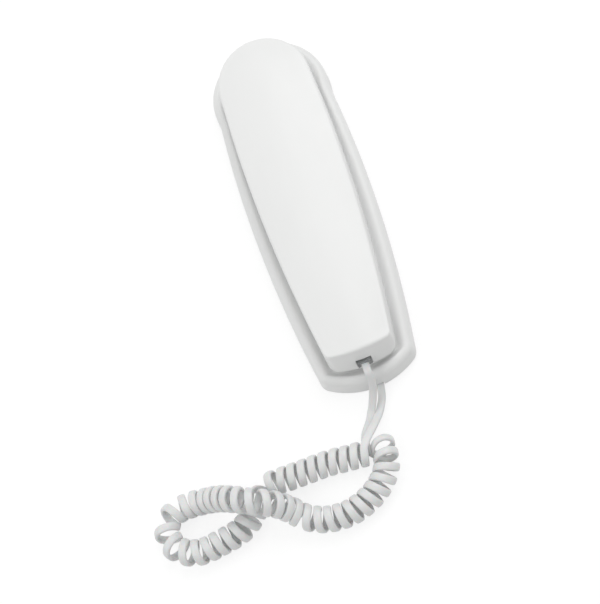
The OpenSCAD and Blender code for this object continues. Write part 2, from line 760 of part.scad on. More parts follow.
// Height halfway through the wall of the back at a place
function back_z(x, y) =
    let (across = abs(x) / (hs_w / 2 - hs_round), along = abs(y - (hs_end_y + hs_top_y) / 2) / (hs_l / 2),
         s = max(across, (along - 0.35) / 0.65, 0))
    side_top_z - hs_wall / 2 + hs_crown * (1 - s * s) + bow(y);

module handset_back() {
    cheek_x = jack_w / 2 + 0.3;
    cheek_t = 1.6;
    cradle_y = hs_jack_y - 1;
    cradle_top = hs_jack_z + hs_jack_h;
    color("white")
    difference() {
        union() {
            loft(concat(reversed(back_rings(hs_wall)), back_rings(0)));
            for (s = hs_screw_spots)
                rod(s.x, s.y, inner_z, back_z(s.x, s.y), hs_boss_r);
            // cradle round the jack
            difference() {
                box(-cheek_x - cheek_t, cheek_x + cheek_t, cradle_y, hs_jack_y + hs_jack_l, split_z,
                    cradle_top + cheek_t);
                box(-cheek_x, cheek_x, cradle_y - 1, hs_jack_y + hs_jack_l + 1, split_z - 1, cradle_top);
            }
        }
        for (s = hs_screw_spots)
            rod(s.x, s.y, inner_z - 1, face_z + hs_screw_l + 0.5, screw_r + 0.1);
        // window in front of the jack's mouth
        box(-window_w / 2, window_w / 2, hs_end_y - 2, hs_jack_y, window_z, window_z + window_h);
    }
}

module handset_screws() {
    color("silver")
    for (s = hs_screw_spots) {
        rod(s.x, s.y, face_z, face_z + screw_head_h, screw_head_r);
        rod(s.x, s.y, face_z, face_z + hs_screw_l, screw_r);
    }
}

module receiver_capsule() {
    z = face_z - ear_out + hs_wall;
    color("dimgray")
    union() {
        rod(0, ear_y, z, z + receiver_h - 2, receiver_r);
        rod(0, ear_y, z + receiver_h - 2 - tiny, z + receiver_h, receiver_r - 5);
    }
}

module microphone_boot() {
    z = face_z - mouth_out + 1.8;
    color("black")
    difference() {
        rod(0, mouth_y, z, z + mic_h + 1, mic_r + 1.5 - 0.05);
        rod(0, mouth_y, z + 1, z + mic_h + 2, mic_r);
        rod(0, mouth_y, z - 1, z + 2, 3);
    }
}

module microphone_capsule() {
    z = face_z - mouth_out + 2.8;
    color("silver")
    rod(0, mouth_y, z, z + mic_h, mic_r - 0.02);
}

dome_r = 1.8;
dome_h = 1.6;

module keypad_mat() {
    color("darkgray")
    union() {
        box(-key_bay_w / 2 + 0.4, key_bay_w / 2 - 0.4, function_y - key_l / 2 - 1.6,
            key_y0 + key_l / 2 + 1.6, mat_z, hs_board_z);
        for (k = [0:11])
            rod(key_x(k), key_y(k), mat_z - dome_h, mat_z + tiny, dome_r);
        for (k = [0:2])
            rod(key_x(k), function_y, mat_z - dome_h, mat_z + tiny, dome_r);
    }
}

module keypad_board() {
    color("seagreen")
    pill(0, (hs_board_top_y + hs_board_end_y) / 2, hs_board_w, hs_board_top_y - hs_board_end_y, 2,
         hs_board_z, hs_board_top_z);
    chip = [12, 9, 2];
    can_r = 2.6;
    can_h = 5;
    color("black")
    for (y = [function_y, key_y0])
        translate([-chip.x / 2, y - chip.y / 2, hs_board_top_z - tiny])
            cube(chip);
    color("royalblue")
    for (m = [-1, 1])
        rod(m * key_pitch_x, key_y(6), hs_board_top_z - tiny, hs_board_top_z + can_h, can_r);
}

module volume_switch() {
    color("black")
    box(-6, 6, slider_y - 3, slider_y + 3, inner_z + 1.2, hs_board_z);
}

module volume_slider() {
    color("dimgray")
    union() {
        box(-slider_w / 2, slider_w / 2, slider_y - slider_l / 2, slider_y + slider_l / 2, face_z - 0.8,
            inner_z + 0.5);
        box(-slider_slot_w / 2 - slider_travel + 0.6, slider_slot_w / 2 + slider_travel - 0.6,
            slider_y - slider_l / 2 - 1, slider_y + slider_l / 2 + 1, inner_z, inner_z + 0.9);
    }
}

module handset_jack() {
    modular_jack(0, hs_jack_y, hs_jack_z, jack_w, hs_jack_h, hs_jack_l, plug_w + 2 * mouth_gap,
                 plug_h + 2 * mouth_gap);
}

// Key cap with a retaining flange and a hollow that clears the rubber dome
module key_cap(x, y) {
    color("whitesmoke")
    difference() {
        union() {
            pill(x, y, key_w - 0.8, key_l - 0.8, 0.8, face_z - key_out, inner_z);
            pill(x, y, key_w, key_l, 1, face_z - key_out + 0.5, inner_z + 0.2);
            pill(x, y, key_w + 2 * flange_over, key_l + 2 * flange_over, 1, inner_z, inner_z + flange_t);
        }
        rod(x, y, face_z + 0.8, inner_z + 2, dome_r + 0.5);
    }
}

// ---- cord ----
// Modular plug lying along Y with its tail end at y0 and its centre at x, z
module modular_plug(x, y0, z) {
    latch_w = 2.6;
    color("lightcyan")
    difference() {
        union() {
            box(x - plug_w / 2, x + plug_w / 2, y0, y0 + plug_l, z - plug_h / 2, z + plug_h / 2 - 0.9);
            box(x - plug_w / 2, x + plug_w / 2, y0 + plug_l - 4.5, y0 + plug_l, z, z + plug_h / 2);
            box(x - latch_w / 2, x + latch_w / 2, y0 + 3, y0 + plug_l - 1, z, z + plug_h / 2 - 0.2);
        }
        for (i = [-1.5:1:1.5])
            box(x + i * 1.27 - 0.3, x + i * 1.27 + 0.3, y0 + plug_l - 3.5, y0 + plug_l + 1,
                z - plug_h / 2 - 1, z - plug_h / 2 + 1.2);
    }
}

module handset_plug() {
    modular_plug(0, hs_plug_y, hs_plug_z);
}

module base_plug() {
    modular_plug(base_jack_x, base_plug_y, base_plug_z);
}

// Tube through points p with an oval section, w its broad direction at each point
module flat_tube(p, w, a, b, sides) {
    n = len(p);
    rings = [for (i = [0:n - 1])
        let (dir = unit(p[min(i + 1, n - 1)] - p[max(i - 1, 0)]),
             u = unit(w[i] - dir * (dir * w[i])), v = cross(dir, u))
        [for (k = [0:sides - 1]) p[i] + a / 2 * cos(360 * k / sides) * u
                                      + b / 2 * sin(360 * k / sides) * v]];
    walls = [for (i = [0:n - 2], k = [0:sides - 1])
        let (q = i * sides + k, r = i * sides + (k + 1) % sides)
        each [[q, q + sides, r + sides], [q, r + sides, r]]];
    caps = [for (k = [1:sides - 2]) each [[0, k, k + 1],
        [(n - 1) * sides, (n - 1) * sides + k + 1, (n - 1) * sides + k]]];
    polyhedron([for (r = rings) each r], concat(walls, caps));
}

// Broad direction of a lead: level and square to its run
function lead_broad(p) = [for (i = [0:len(p) - 1])
    unit(cross(p[min(i + 1, len(p) - 1)] - p[max(i - 1, 0)], [0, 0, 1]))];

// Smooth curve through points
function spline(p, steps) = concat([for (i = [0:len(p) - 2], k = [0:steps - 1])
    let (t = k / steps, b = p[i], c = p[i + 1],
         a = i > 0 ? p[i - 1] : 2 * b - c, d = i < len(p) - 2 ? p[i + 2] : 2 * c - b)
    0.5 * (2 * b + (c - a) * t + (2 * a - 5 * b + 4 * c - d) * t * t
           + (3 * b - a - 3 * c + d) * t * t * t)], [p[len(p) - 1]]);

curl_z = curl_r + cord_t / 2 + 0.1;
// Route of the curly stretch over the table, with a height above its resting height
coil_route = [
    [-16, -146, 0], [-27, -145, 0], [-37, -144, 0], [-48, -144, 0], [-59, -144, 0],
    [-68, -144, 0], [-74, -147, 0], [-80, -153, 0], [-85, -158, 0], [-92, -162, 0],
    [-103, -164, 0], [-113, -165, 0], [-121, -163, 0], [-127, -158, 0], [-129, -151, 0],
    [-127, -144, 0], [-121, -140, 0], [-112, -139.5, 0.2], [-104, -141, 2.6], [-96, -144, 8.4],
    [-88, -148.5, 14], [-80, -153, 16], [-73, -156, 14.4], [-67, -158.5, 9.8], [-62, -162, 4.4],
    [-57, -166.5, 0.8], [-50, -170.5, 0], [-42, -172.5, 0], [-33, -172.5, 0], [-24, -170, 0],
    [-16, -165.5, 0], [-10, -159.5, 0], [-6.6, -153, 0], [-5.6, -147, 0], [-5.4, -143, 0]];
route_steps = 8;
route_line = [for (q = spline(coil_route, route_steps)) [q.x, q.y, q.z + curl_z]];
route_s = [for (i = 0, s = 0; i < len(route_line);
    s = s + (i < len(route_line) - 1 ? norm(route_line[i + 1] - route_line[i]) : 0), i = i + 1) s];
route_len = route_s[len(route_s) - 1];
route_x = [for (i = [0:len(route_line) - 1]) [route_s[i], route_line[i].x]];
route_y = [for (i = [0:len(route_line) - 1]) [route_s[i], route_line[i].y]];
route_h = [for (i = [0:len(route_line) - 1]) [route_s[i], route_line[i].z]];
function route(s) = [lookup(s, route_x), lookup(s, route_y), lookup(s, route_h)];
function route_dir(s) = unit(route(min(s + 2, route_len)) - route(max(s - 2, 0)));

// The curls turn one way up to reverse_s and the other way after it
reverse_s = 62;
reverse_l = 5;
rings_per_curl = 8;
bend_l = 4;
inner_gap = 1;
// Curvature of the route, and the pitch that keeps the curls apart on the inside of a bend
function bend(s) = norm(route_dir(min(s + bend_l, route_len)) - route_dir(max(s - bend_l, 0))) / (2 * bend_l);
function pitch(s) = max(curl_pitch, (cord_w + inner_gap) / max(1 - curl_r * bend(s), 0.3));
function curl_step(s) = pitch(s) / rings_per_curl * (abs(s - reverse_s) < reverse_l ? 1.8 : 1);
function curl_turn(s) = 360 / rings_per_curl * max(-1, min(1, (s - reverse_s) / reverse_l));
first_angle = 10;
curls = [for (s = 0, a = first_angle; s <= route_len; a = a + curl_turn(s), s = s + curl_step(s)) [s, a]];
// the last curl ends at the bottom, where the lead runs off along the table
last_angle = 180 + 360 * floor((curls[len(curls) - 1][1] - 180) / 360);
curl_points = [for (c = curls) if (c[0] < reverse_s || c[1] <= last_angle + 1)
    let (t = route_dir(c[0]), side = unit(cross(t, [0, 0, 1])), up = cross(side, t))
    route(c[0]) + curl_r * (cos(c[1]) * up + sin(c[1]) * side)];
curl_broad = [for (c = curls) if (c[0] < reverse_s || c[1] <= last_angle + 1) route_dir(c[0])];

// Straight ends of the curly stretch, from the lead inwards
coil_start = [[-9.6, -136, 8.9], [-12.4, -139.4, 10.9], [-14.6, -142.6, 12.3]];
coil_end = [[-9.6, -143.4, 1.3], [-12, -141.4, 1.4], [-12.6, -138.4, 1.5], [-12, -135.4, 1.8],
    [-10.8, -132.8, 2.4], [-8.6, -129, 3.4]];
coil_line = concat(coil_start, curl_points, coil_end);
coil_broad = concat(lead_broad(coil_start), curl_broad, lead_broad(coil_end));

// Least gap of the curly stretch to itself, measured between points over half a curl apart
function least_gap(p, skip) = min([for (i = [0:len(p) - skip - 1]) min([for (j = [i + skip:len(p) - 1])
    norm(p[i] - p[j])])]);
coil_gap = least_gap(coil_line, 5) - cord_w;

handset_lead_route = [[0, hs_plug_y, hs_plug_z], [0, hs_plug_y - 5, hs_plug_z],
    [0, -112.4, 19.4], [-0.4, -114.8, 15.6], [-1.4, -117, 12.2], [-3, -119.8, 9], [-5, -123.1, 6],
    [-6.4, -125.2, 4.6], coil_end[5]];
base_lead_route = [[base_jack_x, base_plug_y, base_plug_z - 1.4],
    [base_jack_x, base_plug_y - 4.5, base_plug_z - 1.6], [base_jack_x - 0.2, -112, 3.2],
    [1.6, -118.6, 2.4], [-0.4, -123, 2.6], [-2.8, -127.2, 3.8], [-6.8, -132.6, 6.9], coil_start[0]];

module handset_lead() {
    color("gainsboro")
    flat_tube(handset_lead_route, lead_broad(handset_lead_route), cord_w, cord_t, 8);
}

module base_lead() {
    color("gainsboro")
    flat_tube(base_lead_route, lead_broad(base_lead_route), cord_w, cord_t, 8);
}

module curly_cord() {
    echo(curls = len(curl_points) / rings_per_curl, least_gap = coil_gap, route_length = route_len);
    color("gainsboro")
    flat_tube(coil_line, coil_broad, cord_w, cord_t, 6);
}

base_shell();
base_plate();
base_feet();
base_screws();
base_weight();
base_board();
hook_switch();
hook_plunger();
plunger_spring();
handset_hook();
ringer();
base_jack();
line_jack();
handset_front();
handset_back();
handset_screws();
receiver_capsule();
microphone_boot();
microphone_capsule();
keypad_mat();
keypad_board();
volume_switch();
volume_slider();
handset_jack();
key_cap(key_x(0), key_y(0));  // key_1
key_cap(key_x(1), key_y(1));  // key_2
key_cap(key_x(2), key_y(2));  // key_3
key_cap(key_x(3), key_y(3));  // key_4
key_cap(key_x(4), key_y(4));  // key_5
key_cap(key_x(5), key_y(5));  // key_6
key_cap(key_x(6), key_y(6));  // key_7
key_cap(key_x(7), key_y(7));  // key_8
key_cap(key_x(8), key_y(8));  // key_9
key_cap(key_x(9), key_y(9));  // key_star
key_cap(key_x(10), key_y(10));  // key_0
key_cap(key_x(11), key_y(11));  // key_hash
key_cap(key_x(0), function_y);  // key_redial
key_cap(key_x(1), function_y);  // key_flash
key_cap(key_x(2), function_y);  // key_mute
handset_plug();
handset_lead();
curly_cord();
base_lead();
base_plug();
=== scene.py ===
"""Slimline wall telephone: smooth shells, moulded details, keys and curly cord round the solid frame."""

import json
import math

import bmesh
import bpy
from bpy.props import BoolProperty, FloatProperty, FloatVectorProperty, IntProperty, PointerProperty
from mathutils import Matrix, Vector


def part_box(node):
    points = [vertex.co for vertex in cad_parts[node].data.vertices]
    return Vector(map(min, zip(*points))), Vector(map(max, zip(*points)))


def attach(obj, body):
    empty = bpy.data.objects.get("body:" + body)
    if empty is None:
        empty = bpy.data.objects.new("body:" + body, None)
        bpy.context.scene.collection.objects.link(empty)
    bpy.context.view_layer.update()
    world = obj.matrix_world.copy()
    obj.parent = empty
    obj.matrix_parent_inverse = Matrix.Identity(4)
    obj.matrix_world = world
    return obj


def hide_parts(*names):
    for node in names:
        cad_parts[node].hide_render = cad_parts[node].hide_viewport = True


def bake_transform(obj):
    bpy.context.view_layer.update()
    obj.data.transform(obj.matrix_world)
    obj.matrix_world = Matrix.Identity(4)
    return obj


bl_info = {
    "name": "Slimline Wall Telephone",
    "version": (1, 0, 0),
    "blender": (4, 5, 0),
    "location": "View3D > Sidebar > Telephone",
    "description": "Builds a slimline wall telephone with its handset, keys and curly cord",
    "category": "Object",
}

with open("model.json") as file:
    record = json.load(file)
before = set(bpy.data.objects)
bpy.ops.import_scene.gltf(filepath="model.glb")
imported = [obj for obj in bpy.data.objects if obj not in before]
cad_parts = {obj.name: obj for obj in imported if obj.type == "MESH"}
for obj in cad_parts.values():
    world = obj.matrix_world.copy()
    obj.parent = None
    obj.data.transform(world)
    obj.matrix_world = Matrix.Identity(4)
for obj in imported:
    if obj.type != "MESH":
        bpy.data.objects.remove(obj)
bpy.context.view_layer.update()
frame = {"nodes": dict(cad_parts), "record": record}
NODES = frame["nodes"]

MM = 0.001
CORNER_FACES = 4

# ---- sizes of the shells, in millimetres ----
BASE_L, BASE_W, BASE_H = 225.0, 73.4, 14.5
BASE_SIDE_R, BASE_WIDE_Y, BASE_END_R, BASE_CORNER_R, BASE_HEAD_R = 730.0, 15.0, 44.0, 7.0, 35.6
BASE_WALL, RIM_ROUND, RIM_DRAFT, TROUGH_SKIN = 2.2, 4.0, 0.6, 2.0
SIDE_DEPTH, END_DEPTH, DEEPER_FROM_Y, DEEPER_L = 1.5, 2.6, -72.0, 30.0
PLATE_Z, FLOOR_Z, CEILING_Z, PLATFORM_Z, FACE_Z = 1.2, 3.0, 10.6, 14.0, 15.0
BASE_END_Y = -BASE_L / 2
BASE_HEAD_Y = BASE_L / 2 - BASE_HEAD_R
HEAD_BULGE = 1.4
CORNER_MIN = 1.2

HS_L, HS_W, HS_SIDE_R, HS_END_R, HS_CORNER_R, HS_HEAD_L = 207.5, 57.0, 890.0, 55.0, 4.0, 30.0
HS_LOW_CORNER_R = 7.0
HS_CROWN, HS_WALL, HS_ROUND, HS_LEAN, HS_BOW = 3.5, 2.0, 1.8, 3.0, 1.6
HS_END_Y = BASE_END_Y + 8.0
HS_TOP_Y = HS_END_Y + HS_L
HS_HEAD_Y = HS_TOP_Y - HS_HEAD_L
HS_WIDE_Y = HS_END_Y + HS_L * 0.66
HS_HEAD_HALF = (HS_W - 1.8) / 2
HS_MID_Y = (HS_END_Y + HS_TOP_Y) / 2
SPLIT_Z, INNER_Z, SIDE_TOP_Z = 18.5, 17.0, 35.0
SIDE_RINGS, CROWN_RINGS, INNER_CROWN_RINGS, SIDE_DRAFT, EDGE_ARC = 7, 16, 5, 0.5, 75.0

EAR_Y, EAR_R, EAR_OUT = HS_TOP_Y - 31.0, 19.0, 3.2
MOUTH_Y, MOUTH_R, MOUTH_OUT = HS_END_Y + 36.5, 10.0, 2.4
WELL_GAP, WELL_Z = 2.5, 10.8
WELL_R = EAR_R + WELL_GAP
HOLLOW_TOP_Z, BAY_TOP_Z, RECESS_Z, MOUTH_FLARE = 11.0, 11.4, 12.6, 0.35
LAND_HALF, LAND_SINK, BASE_LEAD_LEFT, BASE_LEAD_RIGHT, BASE_LEAD_TOP_Z = 2.5, 0.6, 2.55, 2.25, 4.8
SCREW_HEAD_R, SCREW_R, EAR_HOLE_R, MOUTH_HOLE_R, SLOT_HALF_W, SLOT_HALF_L = 2.9, 1.5, 1.0, 0.75, 4.35, 1.65
PLATFORM_IN, HOLLOW_IN, PLATFORM_CUT = 5.0, 7.0, 10.0
PLUNGER_Y, PLUNGER_HOLE_R = EAR_Y - 34.0, 3.8
KEY_W, KEY_L, KEY_PITCH_Y = 9.6, 7.2, 11.5
KEY_Y0 = EAR_Y - 47.0
FUNCTION_Y = KEY_Y0 - 4 * KEY_PITCH_Y - 1.0
SLIDER_Y = FUNCTION_Y - 12.0
KEY_OUT, KEY_GAP = 1.2, 0.35
WINDOW_W, WINDOW_H, WINDOW_Z = 8.55, 7.4, 18.85
DIGITS = ["1", "2", "3", "4", "5", "6", "7", "8", "9", "star", "0", "hash"]
FUNCTION_KEYS = ["redial", "flash", "mute"]


# ---- small helpers ----
def box_of(node):
    """Lowest and highest corner of a solid, in millimetres."""
    low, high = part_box(node)
    return low / MM, high / MM


def clear_selection():
    """Leave edit mode and deselect everything."""
    if bpy.context.object and bpy.context.object.mode != "OBJECT":
        bpy.ops.object.mode_set(mode="OBJECT")
    bpy.ops.object.select_all(action="DESELECT")


def pick(*pieces):
    """Select these pieces only, the last one active."""
    clear_selection()
    for piece in pieces:
        piece.select_set(True)
    bpy.context.view_layer.objects.active = pieces[-1]


def settle(piece):
    """Put the piece's place into its mesh."""
    pick(piece)
    bpy.ops.object.transform_apply(location=True, rotation=True, scale=True)


def apply_modifier(piece, kind, **values):
    """Add one modifier with these values and apply it."""
    pick(piece)
    modifier = piece.modifiers.new(kind.title(), kind)
    for name, value in values.items():
        setattr(modifier, name, value)
    bpy.ops.object.modifier_apply(modifier=modifier.name)


def smooth(piece, angle=30.0):
    """Smooth shading with the edges sharper than the angle kept."""
    pick(piece)
    bpy.ops.object.shade_smooth_by_angle(angle=math.radians(angle))


def edit(piece, action="SELECT"):
    """Enter edit mode on a piece with everything selected, or nothing."""
    pick(piece)
    bpy.ops.object.mode_set(mode="EDIT")
    bpy.ops.mesh.select_all(action=action)


def face_outwards(piece):
    """Merge doubles and turn all faces outwards."""
    edit(piece)
    bpy.ops.mesh.remove_doubles(threshold=0.002 * MM)
    bpy.ops.mesh.normals_make_consistent(inside=False)
    bpy.ops.object.mode_set(mode="OBJECT")


def join(pieces, name):
    """Join pieces into one mesh of this name."""
    pick(*pieces)
    if len(pieces) > 1:
        bpy.ops.object.join()
    joined = bpy.context.object
    joined.name = name
    joined.data.name = name
    return joined


def block(x0, x1, y0, y1, z0, z1, corner=0.0, flare=0.0):
    """Block between these millimetre limits, upright edges rounded, its top flared outwards."""
    clear_selection()
    bpy.ops.mesh.primitive_cube_add(size=1)
    piece = bpy.context.object
    piece.dimensions = ((x1 - x0) * MM, (y1 - y0) * MM, (z1 - z0) * MM)
    piece.location = ((x0 + x1) / 2 * MM, (y0 + y1) / 2 * MM, (z0 + z1) / 2 * MM)
    settle(piece)
    if corner:
        edit(piece, "DESELECT")
        bm = bmesh.from_edit_mesh(piece.data)
        for edge in bm.edges:
            if abs(edge.verts[0].co.z - edge.verts[1].co.z) > 1e-6:
                edge.select_set(True)
        bmesh.update_edit_mesh(piece.data)
        bpy.ops.mesh.bevel(offset=corner * MM, segments=CORNER_FACES, affect="EDGES")
        bpy.ops.object.mode_set(mode="OBJECT")
    if flare:
        flare_top(piece, z1, flare)
    return piece


def rod(x, y, z0, z1, r, sides=64, flare=0.0):
    """Upright cylinder between these millimetre limits, its top flared outwards."""
    clear_selection()
    bpy.ops.mesh.primitive_cylinder_add(
        vertices=sides, radius=r * MM, depth=(z1 - z0) * MM,
        location=(x * MM, y * MM, (z0 + z1) / 2 * MM))
    piece = bpy.context.object
    settle(piece)
    if flare:
        flare_top(piece, z1, flare)
    return piece


def flare_top(piece, z, width):
    """Turn the last stretch below the top face outwards, as a cutter for a rounded mouth."""
    edit(piece, "DESELECT")
    bm = bmesh.from_edit_mesh(piece.data)
    for face in bm.faces:
        if all(abs(v.co.z - z * MM) < 1e-7 for v in face.verts):
            face.select_set(True)
    bmesh.update_edit_mesh(piece.data)
    bpy.ops.mesh.extrude_region_move(TRANSFORM_OT_translate={"value": (0, 0, width * MM)})
    bm = bmesh.from_edit_mesh(piece.data)
    chosen = [v for v in bm.verts if v.select]
    centre = sum((v.co for v in chosen), Vector()) / len(chosen)
    for v in chosen:
        out = Vector((v.co.x - centre.x, v.co.y - centre.y, 0))
        if out.length:
            v.co += out.normalized() * width * 1.3 * MM
    bmesh.update_edit_mesh(piece.data)
    bpy.ops.object.mode_set(mode="OBJECT")


def cut(piece, cutters, operation="DIFFERENCE"):
    """Cut the cutters out of a piece, or add them to it."""
    tool = join(cutters, "cutter")
    apply_modifier(piece, "BOOLEAN", operation=operation, object=tool, solver="EXACT",
                   use_self=True)
    bpy.data.objects.remove(tool)


def loft(name, rings):
    """Closed skin through rings of millimetre points, drawn by extruding one circle ring by ring."""
    count = len(rings[0])
    clear_selection()
    bpy.ops.mesh.primitive_circle_add(vertices=count, radius=1.0, fill_type="NOTHING")
    piece = bpy.context.object
    piece.name = piece.data.name = name
    for vert, point in zip(piece.data.vertices, rings[0]):
        vert.co = Vector(point) * MM
    bpy.ops.object.mode_set(mode="EDIT")
    bpy.ops.mesh.select_mode(type="VERT")
    bpy.ops.mesh.select_all(action="SELECT")
    bpy.ops.mesh.edge_face_add()
    bpy.ops.mesh.select_all(action="SELECT")
    slot = {i: i for i in range(count)}
    for ring in rings[1:]:
        bpy.ops.mesh.extrude_region_move()
        bm = bmesh.from_edit_mesh(piece.data)
        bm.verts.index_update()
        following = {}
        for vert in [v for v in bm.verts if v.select]:
            source = next(e.other_vert(vert) for e in vert.link_edges if not e.other_vert(vert).select)
            following[vert.index] = slot[source.index]
            vert.co = Vector(ring[slot[source.index]]) * MM
        slot = following
        bmesh.update_edit_mesh(piece.data)
    bpy.ops.object.mode_set(mode="OBJECT")
    face_outwards(piece)
    return piece


def copy_of_solid(node, name, round_by=0.0, segments=2, angle=40.0):
    """Copy of a solid with its loose triangles merged into clean faces and its edges rounded."""
    clear_selection()
    piece = NODES[node].copy()
    piece.data = NODES[node].data.copy()
    piece.name = piece.data.name = name
    piece.parent = None
    for key in list(piece.keys()):
        if key.startswith("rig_"):
            del piece[key]
    bpy.context.scene.collection.objects.link(piece)
    piece.hide_set(False)
    piece.data.materials.clear()
    edit(piece)
    bpy.ops.mesh.remove_doubles(threshold=0.003 * MM)
    bpy.ops.mesh.customdata_custom_splitnormals_clear()
    bpy.ops.mesh.dissolve_limited(angle_limit=math.radians(0.6))
    bpy.ops.object.mode_set(mode="OBJECT")
    if round_by:
        apply_modifier(piece, "BEVEL", width=round_by * MM, segments=segments, limit_method="ANGLE",
                       angle_limit=math.radians(angle), use_clamp_overlap=True)
    smooth(piece)
    return piece


def place(piece, slot, body, *nodes):
    """Give a finished piece its finish and its body, and hide the solids it stands for."""
    piece.data.materials.clear()
    piece.data.materials.append(finish_of(slot))
    if body:
        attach(piece, body)
    if nodes:
        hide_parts(*nodes)
    return piece


# ---- outlines of the shells ----
OUTLINE_COUNTS = (9, 7, 36, 26)


def unit(v):
    return v.normalized()


def smooth_max(a, b, k):
    return max(a, b) + (max(k - abs(a - b), 0) ** 2 / (4 * k) if k else 0)


def corner_centre(p, r, q, s, c):
    """Centre of a circle of radius c inside both circles, on the right below."""
    d = (q - p).length
    u = (q - p) / d
    a, b = r - c, s - c
    along = (a * a - b * b + d * d) / (2 * d)
    off = math.sqrt(max(a * a - along * along, 0))
    return p + u * along + off * Vector((u.y, -u.x))


def arc(centre, radii, start, end, steps, count):
    """This many points on an arc, at steps of its way from the start angle to the end."""
    angles = [start + (end - start) * i / steps for i in range(count)]
    return [Vector((centre[0] + radii[0] * math.cos(a), centre[1] + radii[1] * math.sin(a)))
            for a in angles]


def half_outline(half_w, side_r, wide_y, end_y, end_r, corner_r, head_y, head_x, head_l, bulge):
    """Right half of a shell's outline, from the cord end to the earpiece end."""
    end_n, corner_n, side_n, head_n = OUTLINE_COUNTS
    side_c, end_c = Vector((half_w - side_r, wide_y)), Vector((0, end_y + end_r))
    c = corner_centre(side_c, side_r, end_c, end_r, corner_r)
    a_end = math.atan2(c.y - end_c.y, c.x - end_c.x)
    a_side = math.atan2(c.y - side_c.y, c.x - side_c.x)
    y_side = side_c.y + side_r * math.sin(a_side)
    points = arc(end_c, (end_r, end_r), -math.pi / 2, a_end, end_n, end_n)
    points += arc(c, (corner_r, corner_r), a_end, a_side, corner_n, corner_n)
    for i in range(side_n):
        y = head_y + (y_side - head_y) * (1 - i / side_n) ** 1.5
        side_x = side_c.x + math.sqrt(side_r ** 2 - (y - wide_y) ** 2)
        bulge_x = head_x * math.sqrt(max(1 - ((y - head_y) / head_l) ** 2, 0))
        points.append(Vector((smooth_max(side_x, bulge_x, bulge), y)))
    return points + arc((0, head_y), (head_x, head_l), 0, math.pi / 2, head_n, head_n + 1)


def whole_outline(half):
    return half + [Vector((-p.x, p.y)) for p in half[-2:0:-1]]


def base_outline(d):
    """Base outline drawn in by d millimetres."""
    return whole_outline(half_outline(
        BASE_W / 2 - d, BASE_SIDE_R - d, BASE_WIDE_Y, BASE_END_Y + d, BASE_END_R - d,
        max(BASE_CORNER_R - d, CORNER_MIN), BASE_HEAD_Y, BASE_HEAD_R - d, BASE_HEAD_R - d, HEAD_BULGE))


def handset_outline(d, lean=0.0, corner=HS_CORNER_R):
    """Handset outline drawn in by d millimetres, its cord end a further lean inside."""
    return whole_outline(half_outline(
        HS_W / 2 - d, HS_SIDE_R - d, HS_WIDE_Y, HS_END_Y + d + lean, HS_END_R - d,
        max(corner - d / 2, CORNER_MIN), HS_HEAD_Y, HS_HEAD_HALF - d, HS_HEAD_L - d, 0.2))


def platform_outline(d, r):
    """Platform under the handset, ending in a hollow curve of radius r round the earpiece."""
    cut_y = EAR_Y - PLATFORM_CUT - d
    a_cut = math.asin(-(PLATFORM_CUT + d) / r)
    head_n = OUTLINE_COUNTS[3]
    half = half_outline(HS_W / 2 - d, HS_SIDE_R - d, HS_WIDE_Y, HS_END_Y + d, HS_END_R - d,
                        max(HS_CORNER_R - d / 2, CORNER_MIN), cut_y, 0.0, 1.0, 0.0)
    half = half[:sum(OUTLINE_COUNTS[:3])]
    side_x = HS_W / 2 - HS_SIDE_R + math.sqrt(HS_SIDE_R ** 2 - (cut_y - HS_WIDE_Y) ** 2) - d
    half.append(Vector((side_x, cut_y)))
    return whole_outline(half + arc((0, EAR_Y), (r, r), a_cut, -math.pi / 2, head_n - 1, head_n))


def level(ring, z):
    return [Vector((p.x, p.y, z)) for p in ring]


def mix_rings(a, b, t):
    return [p.lerp(q, t) for p, q in zip(a, b)]


# ---- finishes ----
# Range that a noise mostly keeps to
NOISE_LOW, NOISE_HIGH = 0.3, 0.7


def add_node(tree, kind, values=(), links=()):
    """New shader node, with values for some inputs and links into others."""
    node = tree.nodes.new("ShaderNode" + kind)
    for name, value in dict(values).items():
        node.inputs[name].default_value = value
    for name, source in dict(links).items():
        tree.links.new(source, node.inputs[name])
    return node


def empty_tree(owner):
    """Emptied node tree of a material or a world."""
    owner.use_nodes = True
    owner.node_tree.nodes.clear()
    return owner.node_tree


def node_tree(name):
    """New material with one shader; returns it with its tree and shader."""
    material = bpy.data.materials.new(name)
    tree = empty_tree(material)
    shader = add_node(tree, "BsdfPrincipled")
    add_node(tree, "OutputMaterial", links={"Surface": shader.outputs["BSDF"]})
    return material, tree, shader


def noise(tree, scale, detail=3.0, stretch=None):
    """Noise on the object's own coordinates, its features 1 / scale metres in size."""
    source = add_node(tree, "TexCoord").outputs["Object"]
    if stretch:
        source = add_node(tree, "Mapping", {"Scale": stretch}, {"Vector": source}).outputs["Vector"]
    return add_node(tree, "TexNoise", {"Scale": scale, "Detail": detail},
                    {"Vector": source}).outputs["Fac"]


def spread(tree, value, low, high):
    """Map a noise to the range from low to high."""
    ends = {"From Min": NOISE_LOW, "From Max": NOISE_HIGH, "To Min": low, "To Max": high}
    return add_node(tree, "MapRange", ends, {"Value": value}).outputs["Result"]


def tint(tree, value, colour_a, colour_b):
    """Blend two colours by a noise."""
    blend = tree.nodes.new("ShaderNodeMix")
    blend.data_type = "RGBA"
    blend.inputs[6].default_value = (*colour_a[:3], 1)
    blend.inputs[7].default_value = (*colour_b[:3], 1)
    tree.links.new(value, blend.inputs[0])
    return blend.outputs[2]


def relief(tree, shader, heights, distance):
    """Bump made of several noises, each with its strength."""
    links = {}
    for value, strength in heights:
        links["Height"] = value
        bump = add_node(tree, "Bump", {"Strength": strength, "Distance": distance * MM}, links)
        links["Normal"] = bump.outputs["Normal"]
    tree.links.new(links["Normal"], shader.inputs["Normal"])


